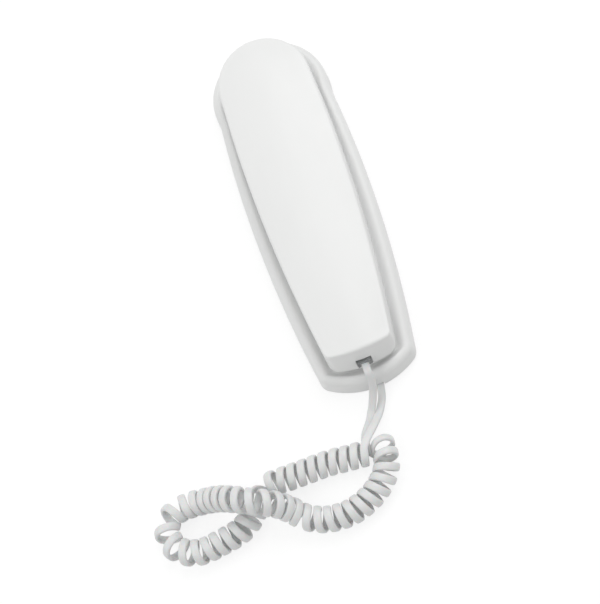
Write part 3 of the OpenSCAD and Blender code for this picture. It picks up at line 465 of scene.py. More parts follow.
def paint(tree, shader, colour, gloss):
    """Feed the shader's colour and roughness."""
    tree.links.new(colour, shader.inputs["Base Color"])
    tree.links.new(gloss, shader.inputs["Roughness"])


def darker(colour, share):
    return tuple(c * share for c in colour[:3])


def moulded(name, colour, rough, depth, coat=0.0, grain=2200.0):
    """Moulded plastic: fine spark-eroded grain, faint flow marks and uneven gloss."""
    material, tree, shader = node_tree(name)
    flow = spread(tree, noise(tree, 38.0, 4.0, (1.0, 0.35, 1.0)), 0.0, 1.0)
    paint(tree, shader, tint(tree, flow, colour, darker(colour, 0.975)),
          spread(tree, noise(tree, 160.0, 5.0), rough * 0.9, min(rough * 1.12, 1.0)))
    shader.inputs["Coat Weight"].default_value = coat
    shader.inputs["Coat Roughness"].default_value = 0.25
    relief(tree, shader, [(noise(tree, grain, 2.0), depth),
                          (noise(tree, 90.0, 2.0), depth * 0.25)], 0.02)
    return material


def soft_vinyl(name, colour):
    """Cord jacket: satin vinyl that lets a little light in, with a faint cloudy tone."""
    material, tree, shader = node_tree(name)
    cloud = spread(tree, noise(tree, 120.0, 3.0), 0.0, 1.0)
    paint(tree, shader, tint(tree, cloud, colour, darker(colour, 0.95)),
          spread(tree, noise(tree, 420.0, 4.0), 0.34, 0.46))
    shader.inputs["Subsurface Weight"].default_value = 0.12
    shader.inputs["Subsurface Scale"].default_value = 1.2 * MM
    relief(tree, shader, [(noise(tree, 900.0, 3.0), 0.18)], 0.03)
    return material


def soft_rubber(name, colour):
    """Matt rubber with a dusty, pitted surface."""
    material, tree, shader = node_tree(name)
    dust = spread(tree, noise(tree, 300.0, 6.0), 0.0, 1.0)
    paint(tree, shader, tint(tree, dust, colour, [min(c * 1.25 + 0.01, 1.0) for c in colour[:3]]),
          spread(tree, noise(tree, 700.0, 4.0), 0.62, 0.82))
    relief(tree, shader, [(noise(tree, 1600.0, 4.0), 0.5)], 0.05)
    return material


def worked_metal(name, colour, rough, stretch):
    """Metal with drawn or brushed lines and uneven brightness."""
    material, tree, shader = node_tree(name)
    lines = noise(tree, 900.0, 4.0, stretch)
    paint(tree, shader, tint(tree, spread(tree, lines, 0.0, 1.0), colour, darker(colour, 0.84)),
          spread(tree, noise(tree, 260.0, 5.0), rough * 0.75, rough * 1.3))
    shader.inputs["Metallic"].default_value = 1.0
    relief(tree, shader, [(lines, 0.3)], 0.015)
    return material


def circuit_board(name, colour, trace):
    """Board with solder mask over pale copper traces."""
    material, tree, shader = node_tree(name)
    brick = add_node(tree, "TexBrick", {
        "Scale": 260.0, "Mortar Size": 0.05, "Mortar": (*trace, 1),
        "Color1": (*colour, 1), "Color2": (*darker(colour, 0.86), 1)},
        {"Vector": add_node(tree, "TexCoord").outputs["Object"]})
    paint(tree, shader, brick.outputs["Color"], spread(tree, noise(tree, 500.0, 3.0), 0.32, 0.5))
    relief(tree, shader, [(brick.outputs["Fac"], 0.4)], 0.03)
    return material


def clear_plastic(name, colour):
    """Clear moulded polycarbonate of the modular plugs."""
    material, tree, shader = node_tree(name)
    paint(tree, shader, tint(tree, noise(tree, 300.0, 3.0), colour, darker(colour, 0.93)),
          spread(tree, noise(tree, 800.0, 3.0), 0.06, 0.16))
    shader.inputs["Transmission Weight"].default_value = 0.85
    shader.inputs["IOR"].default_value = 1.56
    relief(tree, shader, [(noise(tree, 700.0, 2.0), 0.12)], 0.03)
    return material


def make_finish(slot):
    """Finish for one of the record's material slots."""
    values = bpy.context.scene.phone_finish
    shell = values.shell_colour
    maker, *details = {
        "shell_plastic": (moulded, "satin white shell", shell, values.shell_roughness,
                          values.grain_depth, 0.06),
        "plate_plastic": (moulded, "grained grey underside", (0.60, 0.60, 0.585), 0.55, 0.6, 0.0, 1500.0),
        "key_plastic": (moulded, "white key caps", darker(shell, 0.98), 0.3, 0.15, 0.1),
        "function_key_plastic": (moulded, "grey key caps", (0.42, 0.43, 0.44), 0.34, 0.2),
        "jack_plastic": (moulded, "nylon jack bodies", (0.16, 0.16, 0.155), 0.45, 0.4),
        "plug_plastic": (clear_plastic, "clear plug bodies", (0.90, 0.92, 0.93)),
        "cord_plastic": (soft_vinyl, "soft white cord", values.cord_colour),
        "black_plastic": (moulded, "black switch bodies", (0.025, 0.025, 0.025), 0.4, 0.4),
        "foot_rubber": (soft_rubber, "grey rubber feet", (0.16, 0.16, 0.16)),
        "mat_rubber": (soft_rubber, "silicone key mat", (0.50, 0.50, 0.49)),
        "boot_rubber": (soft_rubber, "black rubber boot", (0.02, 0.02, 0.02)),
        "screw_steel": (worked_metal, "zinc plated screws", (0.60, 0.60, 0.61), 0.32, (1, 1, 0.2)),
        "spring_steel": (worked_metal, "drawn spring wire", (0.62, 0.62, 0.64), 0.22, (1, 1, 0.4)),
        "ballast_steel": (worked_metal, "grey ballast plate", (0.42, 0.44, 0.47), 0.5, (0.2, 1, 1)),
        "board_green": (circuit_board, "green circuit board", (0.02, 0.14, 0.07), (0.10, 0.30, 0.14)),
        "board_brown": (circuit_board, "brown key board", (0.30, 0.19, 0.07), (0.42, 0.28, 0.10)),
        "ringer_brass": (worked_metal, "rolled brass", (0.75, 0.55, 0.22), 0.3, (1, 0.2, 1)),
        "capsule_metal": (worked_metal, "drawn aluminium can", (0.70, 0.70, 0.72), 0.28, (1, 1, 0.2)),
        "receiver_plastic": (moulded, "dark receiver capsule", (0.035, 0.035, 0.04), 0.5, 0.5),
        "ink": (moulded, "printed key marks", (0.05, 0.055, 0.06), 0.5, 0.3),
    }[slot]
    return maker(*details)


FINISHES = {}


def finish_of(slot):
    """The one finish of a material slot."""
    if slot not in FINISHES:
        FINISHES[slot] = make_finish(slot)
    return FINISHES[slot]


# ---- cord ----
CURL_R, CURL_PITCH = 5.9, 5.8
CAD_CORD_W, CAD_CORD_T = 3.8, 2.2
CURL_Z = CURL_R + CAD_CORD_T / 2 + 0.1
REVERSE_S, REVERSE_L, RINGS_PER_CURL, BEND_L, INNER_GAP, FIRST_ANGLE = 62.0, 5.0, 8, 4.0, 1.0, 10.0
ROUTE_STEPS = 8
# Sides of the band and the powers that square its section off
BAND_SIDES, BROAD_POWER, THIN_POWER = 16, 0.62, 0.75
LEAN_L, LAST_LEAN, LAST_PITCH, LAST_SHIFT = 16.0, 38.0, 5.8, Vector((-1.2, -0.3, -0.6))
COIL_ROUTE = [
    (-16, -146, 0), (-27, -145, 0), (-37, -144, 0), (-48, -144, 0), (-59, -144, 0),
    (-68, -144, 0), (-74, -147, 0), (-80, -153, 0), (-85, -158, 0), (-92, -162, 0),
    (-103, -164, 0), (-113, -165, 0), (-121, -163, 0), (-127, -158, 0), (-129, -151, 0),
    (-127, -144, 0), (-121, -140, 0), (-112, -139.5, 0.2), (-104, -141, 2.6), (-96, -144, 8.4),
    (-88, -148.5, 14), (-80, -153, 16), (-73, -156, 14.4), (-67, -158.5, 9.8), (-62, -162, 4.4),
    (-57, -166.5, 0.8), (-50, -170.5, 0), (-42, -172.5, 0), (-33, -172.5, 0), (-24, -170, 0),
    (-16, -165.5, 0), (-10, -159.5, 0), (-6.6, -153, 0), (-5.6, -147, 0), (-5.4, -143, 0)]
COIL_START = [(-9.6, -136, 8.9), (-12.4, -139.4, 10.9), (-14.6, -142.6, 12.3)]
COIL_END = [(-10.4, -147.6, 1.4), (-13.2, -145.6, 1.4), (-14.8, -142.2, 1.5), (-14.8, -138.6, 1.7),
            (-13.6, -135.2, 2.0), (-11.4, -132.2, 2.5), (-8.6, -129, 3.4)]


def spline(points, steps):
    """Smooth curve through points, with this many steps from one to the next."""
    points = [Vector(p) for p in points]
    line = []
    last = len(points) - 1
    for i in range(last):
        b, c = points[i], points[i + 1]
        a = points[i - 1] if i else 2 * b - c
        d = points[i + 2] if i < last - 1 else 2 * c - b
        for k in range(steps):
            t = k / steps
            line.append(0.5 * (2 * b + (c - a) * t + (2 * a - 5 * b + 4 * c - d) * t * t
                               + (3 * b - a - 3 * c + d) * t ** 3))
    return line + [points[last]]


def lookup(s, stations, values):
    """Value at the distance s along a line, between its stations."""
    if s <= stations[0]:
        return values[0].copy()
    for i in range(len(stations) - 1):
        if s <= stations[i + 1]:
            t = (s - stations[i]) / (stations[i + 1] - stations[i])
            return values[i].lerp(values[i + 1], t)
    return values[-1].copy()


def distances(line):
    total, stations = 0.0, [0.0]
    for p, q in zip(line, line[1:]):
        total += (q - p).length
        stations.append(total)
    return stations


def level_broad(line):
    """Broad direction of a lead: level and square to its run."""
    last = len(line) - 1
    return [unit((line[min(i + 1, last)] - line[max(i - 1, 0)]).cross(Vector((0, 0, 1))))
            for i in range(last + 1)]


def curl_line():
    """Points of the curly stretch, its last curls leaning, and the band's broad direction at each."""
    line = [p + Vector((0, 0, CURL_Z)) for p in spline(COIL_ROUTE, ROUTE_STEPS)]
    stations = distances(line)
    length = stations[-1]

    def route(s):
        return lookup(s, stations, line)

    def heading(s):
        return unit(route(min(s + 2, length)) - route(max(s - 2, 0)))

    def bend(s):
        return (heading(min(s + BEND_L, length)) - heading(max(s - BEND_L, 0))).length / (2 * BEND_L)

    def pitch(s):
        return max(CURL_PITCH, (CAD_CORD_W + INNER_GAP) / max(1 - CURL_R * bend(s), 0.3))

    curls = []
    s, a = 0.0, FIRST_ANGLE
    while s <= length:
        curls.append((s, a))
        a += 360 / RINGS_PER_CURL * max(-1, min(1, (s - REVERSE_S) / REVERSE_L))
        s += pitch(s) / RINGS_PER_CURL * (1.8 if abs(s - REVERSE_S) < REVERSE_L else 1)
    last_angle = 180 + 360 * math.floor((curls[-1][1] - 180) / 360)
    curls = [(s, a) for s, a in curls if s < REVERSE_S or a <= last_angle + 1]
    s, a = curls[-1]
    curls += [(s + LAST_PITCH * i / RINGS_PER_CURL, a + 360 * i / RINGS_PER_CURL)
              for i in range(1, RINGS_PER_CURL + 1)]
    end = curls[-1][0]
    points, broads = [], []
    for s, a in curls:
        t = heading(s)
        side = unit(t.cross(Vector((0, 0, 1))))
        up = side.cross(t)
        turn = math.radians(a)
        share = min(max(1 - (end - s) / LEAN_L, 0), 1)
        share *= share * (3 - 2 * share)
        lean = math.radians(LAST_LEAN) * share
        leaning = up * math.cos(lean) + t * math.sin(lean)
        centre = route(s) + share * LAST_SHIFT
        points.append(centre + CURL_R * (math.cos(turn) * leaning + math.sin(turn) * side))
        broads.append(t * math.cos(lean) - up * math.sin(lean))
    return points, broads


def band(name, points, broads, width, thick, steps):
    """Flat cord with rounded edges through points; returns the piece and its centreline."""
    line = spline(points, steps)
    across = spline(broads, steps)
    last = len(line) - 1
    verts, faces = [], []
    for i, (p, w) in enumerate(zip(line, across)):
        run = unit(line[min(i + 1, last)] - line[max(i - 1, 0)])
        u = unit(w - run * run.dot(w))
        v = run.cross(u)
        for k in range(BAND_SIDES):
            a = 2 * math.pi * k / BAND_SIDES
            c, s = math.cos(a), math.sin(a)
            x = math.copysign(abs(c) ** BROAD_POWER, c) * width / 2
            y = math.copysign(abs(s) ** THIN_POWER, s) * thick / 2
            verts.append((p + u * x + v * y) * MM)
    for i in range(last):
        for k in range(BAND_SIDES):
            q, r = i * BAND_SIDES + k, i * BAND_SIDES + (k + 1) % BAND_SIDES
            faces.append((q, r, r + BAND_SIDES, q + BAND_SIDES))
    faces.append(tuple(reversed(range(BAND_SIDES))))
    faces.append(tuple(last * BAND_SIDES + k for k in range(BAND_SIDES)))
    mesh = bpy.data.meshes.new(name)
    mesh.from_pydata(verts, [], faces)
    piece = bpy.data.objects.new(name, mesh)
    bpy.context.scene.collection.objects.link(piece)
    face_outwards(piece)
    smooth(piece, 50.0)
    return piece, [tuple(p * MM) for p in line]


def handset_lead_points():
    low, high = box_of("handset_plug")
    tail, z = low.y, 22.55
    return [Vector(p) for p in [
        (0, tail, z), (0, tail - 5, z), (0, -112.4, 19.4), (-0.4, -114.8, 15.6), (-1.4, -117, 12.2),
        (-3, -119.8, 9), (-5, -123.1, 6), (-6.4, -125.2, 4.6), COIL_END[-1]]]


def base_lead_points():
    low, high = box_of("base_plug")
    x, tail, z = (low.x + high.x) / 2, low.y, 5.25
    return [Vector(p) for p in [
        (x, tail, z - 1.4), (x, tail - 4.5, z - 1.6), (x - 0.2, -112, 3.2), (1.6, -118.6, 2.4),
        (-0.4, -123, 2.6), (-2.8, -127.2, 3.8), (-6.8, -132.6, 6.9), COIL_START[0]]]


# ---- stage ----
CAMERA_DISTANCE, CAMERA_ELEVATION, CAMERA_AZIMUTH, CAMERA_ROLL = 0.8, 64.0, 5.32, -25.49
PIXELS_PER_MM, TARGET_X, TARGET_Y, IMAGE_W, IMAGE_H = 1.74, 313.3, 211.9, 600, 604
SENSOR_W = 36.0
FLOOR_SIZE, TABLE_COLOUR, FILL_COLOUR = 6.0, (0.72, 0.72, 0.72, 1), (0.99, 1.0, 0.99, 1)
KEY_PLACE, KEY_SIZE = (0.6, 0.6, 1.2), 1.3
SIDE_PLACE, SIDE_SIZE, SIDE_SHARE = (-0.9, -0.2, 1.0), 0.9, 0.42


def set_camera():
    """Camera looking down over the cord end, turned about its own axis."""
    elevation, azimuth, roll = (math.radians(a) for a in (CAMERA_ELEVATION, CAMERA_AZIMUTH, CAMERA_ROLL))
    place_at = CAMERA_DISTANCE * Vector((math.cos(elevation) * math.sin(azimuth),
                                         -math.cos(elevation) * math.cos(azimuth), math.sin(elevation)))
    view = -place_at.normalized()
    right = view.cross(Vector((0, 0, 1))).normalized()
    up = right.cross(view)
    turned_right = right * math.cos(roll) + up * math.sin(roll)
    turned_up = up * math.cos(roll) - right * math.sin(roll)
    clear_selection()
    bpy.ops.object.camera_add(location=place_at)
    camera = bpy.context.object
    camera.name = "view"
    axes = Matrix((turned_right, turned_up, -view)).transposed().to_4x4()
    camera.matrix_world = Matrix.Translation(place_at) @ axes
    camera.data.sensor_fit = "HORIZONTAL"
    camera.data.sensor_width = SENSOR_W
    camera.data.lens = SENSOR_W * CAMERA_DISTANCE / MM / (IMAGE_W / PIXELS_PER_MM)
    camera.data.shift_x = -(TARGET_X - IMAGE_W / 2) / IMAGE_W
    camera.data.shift_y = -(IMAGE_H / 2 - TARGET_Y) / IMAGE_W
    camera.data.clip_start = 0.01
    bpy.context.scene.camera = camera


def either(tree, a, b):
    """Whichever of two ray tests holds."""
    test = add_node(tree, "Math", links={0: a, 1: b})
    test.operation = "MAXIMUM"
    return test.outputs[0]


def set_floor(values):
    """Floor that the camera sees white but for its shadow, and that lights the phone as a pale table."""
    clear_selection()
    bpy.ops.mesh.primitive_grid_add(x_subdivisions=8, y_subdivisions=8, size=FLOOR_SIZE)
    floor = bpy.context.object
    floor.name = "floor"
    material = bpy.data.materials.new("pale table")
    tree = empty_tree(material)
    rays = add_node(tree, "LightPath").outputs
    seen = either(tree, rays["Is Camera Ray"], rays["Is Glossy Ray"])
    seen = either(tree, seen, rays["Is Transmission Ray"])
    shaded = add_node(tree, "BsdfDiffuse", {"Color": (*values.shadow_share, 1)})
    glow = add_node(tree, "Emission", {"Color": (1, 1, 1, 1), "Strength": values.floor_glow})
    both = add_node(tree, "AddShader", links={0: shaded.outputs[0], 1: glow.outputs[0]})
    plain = add_node(tree, "BsdfDiffuse", {"Color": TABLE_COLOUR})
    chosen = add_node(tree, "MixShader", links={0: seen, 1: plain.outputs[0], 2: both.outputs[0]})
    add_node(tree, "OutputMaterial", links={"Surface": chosen.outputs[0]})
    floor.data.materials.append(material)


def set_world(values):
    """White surroundings for the camera, and an even fill light for the phone."""
    world = bpy.data.worlds.new("white studio")
    bpy.context.scene.world = world
    tree = empty_tree(world)
    rays = add_node(tree, "LightPath").outputs
    seen = either(tree, rays["Is Camera Ray"], rays["Is Transmission Ray"])
    white = add_node(tree, "Background", {"Strength": 1.0})
    fill = add_node(tree, "Background", {"Color": FILL_COLOUR, "Strength": values.fill_strength})
    chosen = add_node(tree, "MixShader", links={0: seen, 1: fill.outputs[0], 2: white.outputs[0]})
    add_node(tree, "OutputWorld", links={"Surface": chosen.outputs[0]})


def add_softbox(name, place_at, size, power):
    clear_selection()
    bpy.ops.object.light_add(type="AREA", location=place_at)
    lamp = bpy.context.object
    lamp.name = name
    lamp.data.shape = "DISK"
    lamp.data.size = size
    lamp.data.energy = power
    lamp.rotation_euler = (-Vector(place_at)).to_track_quat("-Z", "Y").to_euler()


# ---- shells ----
def arc_steps(count, top=90.0):
    """Angles from 0 to the top one, given in degrees."""
    return [math.radians(top * i / count) for i in range(count + 1)]


def trough_depth(y):
    """Depth of the groove round the handset: shallow at the sides, deeper at the cord end."""
    t = min(max((DEEPER_FROM_Y - y) / DEEPER_L, 0), 1)
    return SIDE_DEPTH + (END_DEPTH - SIDE_DEPTH) * t * t * (3 - 2 * t)


def in_trough(ring, share=1.0, above=0.0):
    """Ring laid at a share of the groove's depth."""
    return [Vector((p.x, p.y, BASE_H - share * trough_depth(p.y) + above)) for p in ring]


def base_cover():
    """Dished upper shell of the base with its platform, wells and openings."""
    hollow = platform_outline(HOLLOW_IN, WELL_R + TROUGH_SKIN)
    raised = platform_outline(PLATFORM_IN, WELL_R)
    rim = base_outline(RIM_DRAFT + RIM_ROUND)
    edge = handset_outline(1.0)
    rings = [level(hollow, HOLLOW_TOP_Z), level(hollow, CEILING_Z),
             level(handset_outline(2.0), CEILING_Z),
             level(base_outline(BASE_WALL + 3.4), BASE_H - 2.6),
             level(base_outline(BASE_WALL), BASE_H - RIM_ROUND - 1),
             level(base_outline(BASE_WALL), PLATE_Z), level(base_outline(0.25), PLATE_Z),
             level(base_outline(0.0), PLATE_Z + 0.3)]
    for a in arc_steps(9):
        rings.append(level(base_outline(RIM_DRAFT + RIM_ROUND * (1 - math.cos(a))),
                           BASE_H - RIM_ROUND * (1 - math.sin(a))))
    for i in range(1, 11):
        t = i / 10
        rings.append(in_trough(mix_rings(rim, edge, t), t * t * (3 - 2 * t)))
    rings += [in_trough(handset_outline(3.0)), in_trough(mix_rings(handset_outline(3.0), raised, 0.8)),
              in_trough(raised, 1.0, 0.3), level(raised, PLATFORM_Z - 0.5)]
    for inwards, below in ((0.15, 0.15), (0.5, 0.0)):
        outline = platform_outline(PLATFORM_IN + inwards, WELL_R + inwards)
        rings.append(level(outline, PLATFORM_Z - below))
    shell = loft("base_cover", rings)
    lands = [block(m * x - LAND_HALF, m * x + LAND_HALF, y - LAND_HALF, y + LAND_HALF,
                   PLATFORM_Z - LAND_SINK, FACE_Z, 0.8)
             for x, y in ((18.0, PLUNGER_Y + 3), (13.0, MOUTH_Y + 20)) for m in (-1, 1)]
    low, high = box_of("line_jack")
    bay = block(-9.2, 9.2, low.y - 1.5, high.y + 19.2, FLOOR_Z, BAY_TOP_Z)
    cut(shell, lands, "UNION")
    cut(shell, [bay, rod(0, EAR_Y, WELL_Z - TROUGH_SKIN, CEILING_Z + 0.4, WELL_R + 1.8, 96)], "UNION")
    hook_low, hook_high = box_of("handset_hook")
    top = PLATFORM_Z - MOUTH_FLARE + 0.01
    plug_low, plug_high = box_of("base_plug")
    lead_x = (plug_low.x + plug_high.x) / 2
    cutters = [
        rod(0, MOUTH_Y, FACE_Z - MOUTH_OUT - 1, top, MOUTH_R + WELL_GAP, 96, MOUTH_FLARE),
        rod(0, EAR_Y, WELL_Z, BASE_H, WELL_R, 128),
        block(-18.9, 18.9, SLIDER_Y - 5.5, KEY_Y0 + KEY_L / 2 + 1.4, RECESS_Z, top, 1.5, MOUTH_FLARE),
        rod(0, PLUNGER_Y, 11.5, top, PLUNGER_HOLE_R, 64, MOUTH_FLARE),
        rod(0, PLUNGER_Y, CEILING_Z - 1, 12.1, 4.9, 64),
        block(hook_low.x - 0.3, hook_high.x + 0.3, hook_low.y - 0.3, hook_high.y + 4,
              12.0, PLATFORM_Z + 1),
        block(-8.0, 8.0, low.y - 0.3, high.y + 18, PLATE_Z - 1, CEILING_Z, 1.0),
        block(lead_x - BASE_LEAD_LEFT, lead_x + BASE_LEAD_RIGHT, BASE_END_Y - 2, BASE_END_Y + 8,
              PLATE_Z - 1, BASE_LEAD_TOP_Z)]
    for cutter in cutters:
        cut(shell, [cutter])
    smooth(shell, 28.0)
    return shell


def crown_bow(y):
    return -HS_BOW * ((y - HS_MID_Y) / (HS_L / 2)) ** 2


def crown(p, d):
    """Height of the back's arch at p over its side edges, which are drawn in by d."""
    side_y = min(p.y, HS_HEAD_Y)
    half_w = HS_W / 2 - HS_SIDE_R + math.sqrt(HS_SIDE_R ** 2 - (side_y - HS_WIDE_Y) ** 2) - d
    over = (p.y - side_y) / (HS_HEAD_L - d)
    return HS_CROWN * max(1 - (p.x / half_w) ** 2 - over ** 2, 0.0)


def handset_side_rings(t, steps):
    """Rings of the handset's back cover from the parting line to the crown's middle."""
    top = SIDE_TOP_Z - t
    r = HS_ROUND - t * 0.5
    corner = HS_LOW_CORNER_R
    rings = [level(handset_outline(t, 0.0, corner), SPLIT_Z)]
    for i in range(1, SIDE_RINGS + 1):
        k = i / SIDE_RINGS
        d = t + SIDE_DRAFT * k
        ring = handset_outline(d, HS_LEAN * 0.8 * k, corner + (HS_CORNER_R - corner) * k)
        rings.append([Vector((p.x, p.y, SPLIT_Z + k * (
            top - r - SPLIT_Z + 0.5 * crown_bow(p.y) + crown(p, d)))) for p in ring])
    for a in arc_steps(steps, EDGE_ARC)[1:]:
        share = 0.5 + 0.5 * a / math.radians(EDGE_ARC)
        d = t + SIDE_DRAFT + r * (1 - math.cos(a))
        ring = handset_outline(d, HS_LEAN * (0.8 + 0.2 * a / math.radians(EDGE_ARC)))
        rings.append([Vector((p.x, p.y, top - r + r * math.sin(a) + share * crown_bow(p.y) + crown(p, d)))
                      for p in ring])
    z = top - r + r * math.sin(math.radians(EDGE_ARC))
    crown_steps = CROWN_RINGS if t == 0 else INNER_CROWN_RINGS
    for i in range(1, crown_steps + 1):
        s = 1 - i / crown_steps
        k = 0.35 + 0.65 * s
        inner = [Vector((p.x * s, HS_MID_Y + (p.y - HS_MID_Y) * k)) for p in ring]
        rings.append([Vector((p.x, p.y, z + crown(p, d) + crown_bow(p.y))) for p in inner])
    return rings


def back_cover():
    """Crowned back cover of the handset with the opening for the cord's plug."""
    inner = handset_side_rings(HS_WALL, 4)
    outer = handset_side_rings(0.0, 7)
    bevel = [level(handset_outline(0.3, 0.0, HS_LOW_CORNER_R), SPLIT_Z),
             level(handset_outline(0.0, 0.0, HS_LOW_CORNER_R), SPLIT_Z + 0.3)]
    rings = list(reversed(inner)) + bevel + outer[1:]
    shell = loft("handset_back_cover", rings)
    cut(shell, [block(-WINDOW_W / 2, WINDOW_W / 2, HS_END_Y - 2, box_of("handset_jack")[0].y,
                      WINDOW_Z, WINDOW_Z + WINDOW_H)])
    smooth(shell, 30.0)
    return shell


def cup(name, y, r, out, top):
    """Round cup standing out of the handset's face, its lower edge rounded."""
    clear_selection()
    round_r = 1.2
    profile = [(0.0, FACE_Z - out), (r - round_r, FACE_Z - out)]
    profile += [(r - round_r + round_r * math.sin(a), FACE_Z - out + round_r * (1 - math.cos(a)))
                for a in arc_steps(6)[1:]]
    profile.append((r, top))
    profile.append((0.0, top))
    rings = [[Vector((max(x, 0.02) * math.cos(b), y + max(x, 0.02) * math.sin(b), z))
              for b in (2 * math.pi * k / 96 for k in range(96))] for x, z in profile]
    return loft(name, rings)


def front_cover():
    """Front cover of the handset with its cups, key openings and holes."""
    rings = [level(handset_outline(d, 0.0, HS_LOW_CORNER_R), z) for d, z in (
        (2.0, FACE_Z), (1.4, FACE_Z + 0.1), (0.9, FACE_Z + 0.4), (0.5, FACE_Z + 0.8), (0.2, FACE_Z + 1.4),
        (0.0, FACE_Z + 2.3), (0.0, SPLIT_Z - 0.3), (0.3, SPLIT_Z), (HS_WALL, SPLIT_Z),
        (HS_WALL + 0.9, INNER_Z))]
    shell = loft("handset_front_cover", rings)
    cut(shell, [cup("ear_cup", EAR_Y, EAR_R, EAR_OUT, INNER_Z - 0.3)], "UNION")
    cut(shell, [cup("mouth_cup", MOUTH_Y, MOUTH_R, MOUTH_OUT, INNER_Z - 0.3)], "UNION")
    openings = []
    for x, y in key_places():
        openings.append(block(x - KEY_W / 2 - KEY_GAP, x + KEY_W / 2 + KEY_GAP, y - KEY_L / 2 - KEY_GAP,
                              y + KEY_L / 2 + KEY_GAP, FACE_Z - 1, INNER_Z + 1, corner=1.2))
    openings.append(block(-SLOT_HALF_W, SLOT_HALF_W, SLIDER_Y - SLOT_HALF_L, SLIDER_Y + SLOT_HALF_L,
                          FACE_Z - 1, INNER_Z + 1, corner=0.3))
    holes = [(0.0, 0.0, EAR_HOLE_R, EAR_Y, EAR_OUT)]
    for ring_r, count in ((4.0, 6), (8.0, 12)):
        for k in range(count):
            a = 2 * math.pi * k / count
            holes.append((ring_r * math.cos(a), ring_r * math.sin(a), EAR_HOLE_R, EAR_Y, EAR_OUT))
    holes += [(x, 0.0, MOUTH_HOLE_R, MOUTH_Y, MOUTH_OUT) for x in (-2.5, 0.0, 2.5)]
    for dx, dy, r, y, out in holes:
        openings.append(rod(dx, y + dy, FACE_Z - out - 1, FACE_Z - out + 1.6, r, 24))
    for x, y in screw_places():
        openings.append(rod(x, y, FACE_Z - 1, FACE_Z + 1.2, SCREW_HEAD_R, 48))
        openings.append(rod(x, y, FACE_Z - 1, INNER_Z + 1, SCREW_R, 32))
    cut(shell, openings)
    smooth(shell, 28.0)
    return shell


def key_places():
    """Centres of the twelve dial keys and the three function keys."""
    places = []
    for name in DIGITS + FUNCTION_KEYS:
        low, high = box_of("key_" + name)
        places.append(((low.x + high.x) / 2, (low.y + high.y) / 2))
    return places


def screw_places():
    return [(17.0, EAR_Y - 22), (-17.0, EAR_Y - 22), (0.0, SLIDER_Y - 17)]


def key_mark(name, x, y):
    """Raised mark on a key: a digit, or a short bar on a function key."""
    signs = {"star": "*", "hash": "#"}
    z = FACE_Z - KEY_OUT
    if name in FUNCTION_KEYS:
        count = FUNCTION_KEYS.index(name) + 1
        bars = [block(x - 1.9, x + 1.9, y + off - 0.3, y + off + 0.3, z - 0.04, z + 0.06, corner=0.28)
                for off in [1.1 * (i - (count - 1) / 2) for i in range(count)]]
        return join(bars, "mark_" + name)
    clear_selection()
    bpy.ops.object.text_add(location=(x * MM, y * MM, z * MM), rotation=(0, math.pi, 0))
    text = bpy.context.object
    text.data.body = signs.get(name, name)
    text.data.align_x = "CENTER"
    text.data.align_y = "CENTER"
    text.data.size = (8.5 if name == "star" else 5.6) * MM
    text.data.extrude = 0.04 * MM
    text.data.resolution_u = 6
    if name == "star":
        text.location.y = (y - 1.6) * MM
    bpy.ops.object.convert(target="MESH")
    piece = bpy.context.object
    piece.name = piece.data.name = "mark_" + name
    settle(piece)
    face_outwards(piece)
    return piece


def round_solids(body, *rows):
    """Put rounded copies in the solids' places; a row is node, finish, rounding and segments."""
    for node, slot, *rounding in rows:
        place(copy_of_solid(node, node + "_rounded", *rounding), slot, body, node)


# ---- settings ----
class PhoneFinish(bpy.types.PropertyGroup):
    """Colours and surface of the telephone."""
    shell_colour: FloatVectorProperty(
        name="Shell colour", description="Colour of the handset and the base", subtype="COLOR",
        size=3, min=0.0, max=1.0, default=(0.86, 0.86, 0.858))
    cord_colour: FloatVectorProperty(
        name="Cord colour", description="Colour of the curly cord", subtype="COLOR",
        size=3, min=0.0, max=1.0, default=(0.79, 0.795, 0.795))
    shell_roughness: FloatProperty(
        name="Shell roughness", description="Roughness of the shells' satin surface",
        min=0.05, max=1.0, default=0.42)
    grain_depth: FloatProperty(
        name="Grain", description="Strength of the moulded grain", min=0.0, max=1.0, default=0.16)


class PhoneCord(bpy.types.PropertyGroup):
    """Sizes of the flat cord."""
    width: FloatProperty(
        name="Width", description="Width of the flat cord", subtype="DISTANCE", unit="LENGTH",
        min=0.002, max=0.006, default=0.0043)
    thickness: FloatProperty(
        name="Thickness", description="Thickness of the flat cord", subtype="DISTANCE", unit="LENGTH",
        min=0.001, max=0.003, default=0.0023)
    steps: IntProperty(
        name="Steps", description="Steps between the points of the cord's line", min=1, max=8, default=4)


class PhoneStage(bpy.types.PropertyGroup):
    """Light and floor of the stage."""
    fill_strength: FloatProperty(
        name="Fill", description="Strength of the even light all round", min=0.0, max=2.0, default=0.575)
    key_power: FloatProperty(
        name="Key light", description="Power of the large lamp over the earpiece end", subtype="POWER",
        min=0.0, max=200.0, default=8.7)
    floor_glow: FloatProperty(
        name="Floor glow", description="White that the camera sees on the floor besides its lit colour",
        min=0.0, max=1.0, default=0.80)
    shadow_share: FloatVectorProperty(
        name="Shadow share", description="Lit part of the floor's colour, in which the shadow shows",
        subtype="COLOR", size=3, min=0.0, max=1.0, default=(0.24, 0.24, 0.24))
    show_marks: BoolProperty(
        name="Key marks", description="Put digits on the keys", default=True)


# ---- operators ----
class PHONE_OT_camera(bpy.types.Operator):
    """Set the camera above the cord end of the telephone"""
    bl_idname = "phone.camera"
    bl_label = "Camera"

    def execute(self, context):
        set_camera()
        return {"FINISHED"}


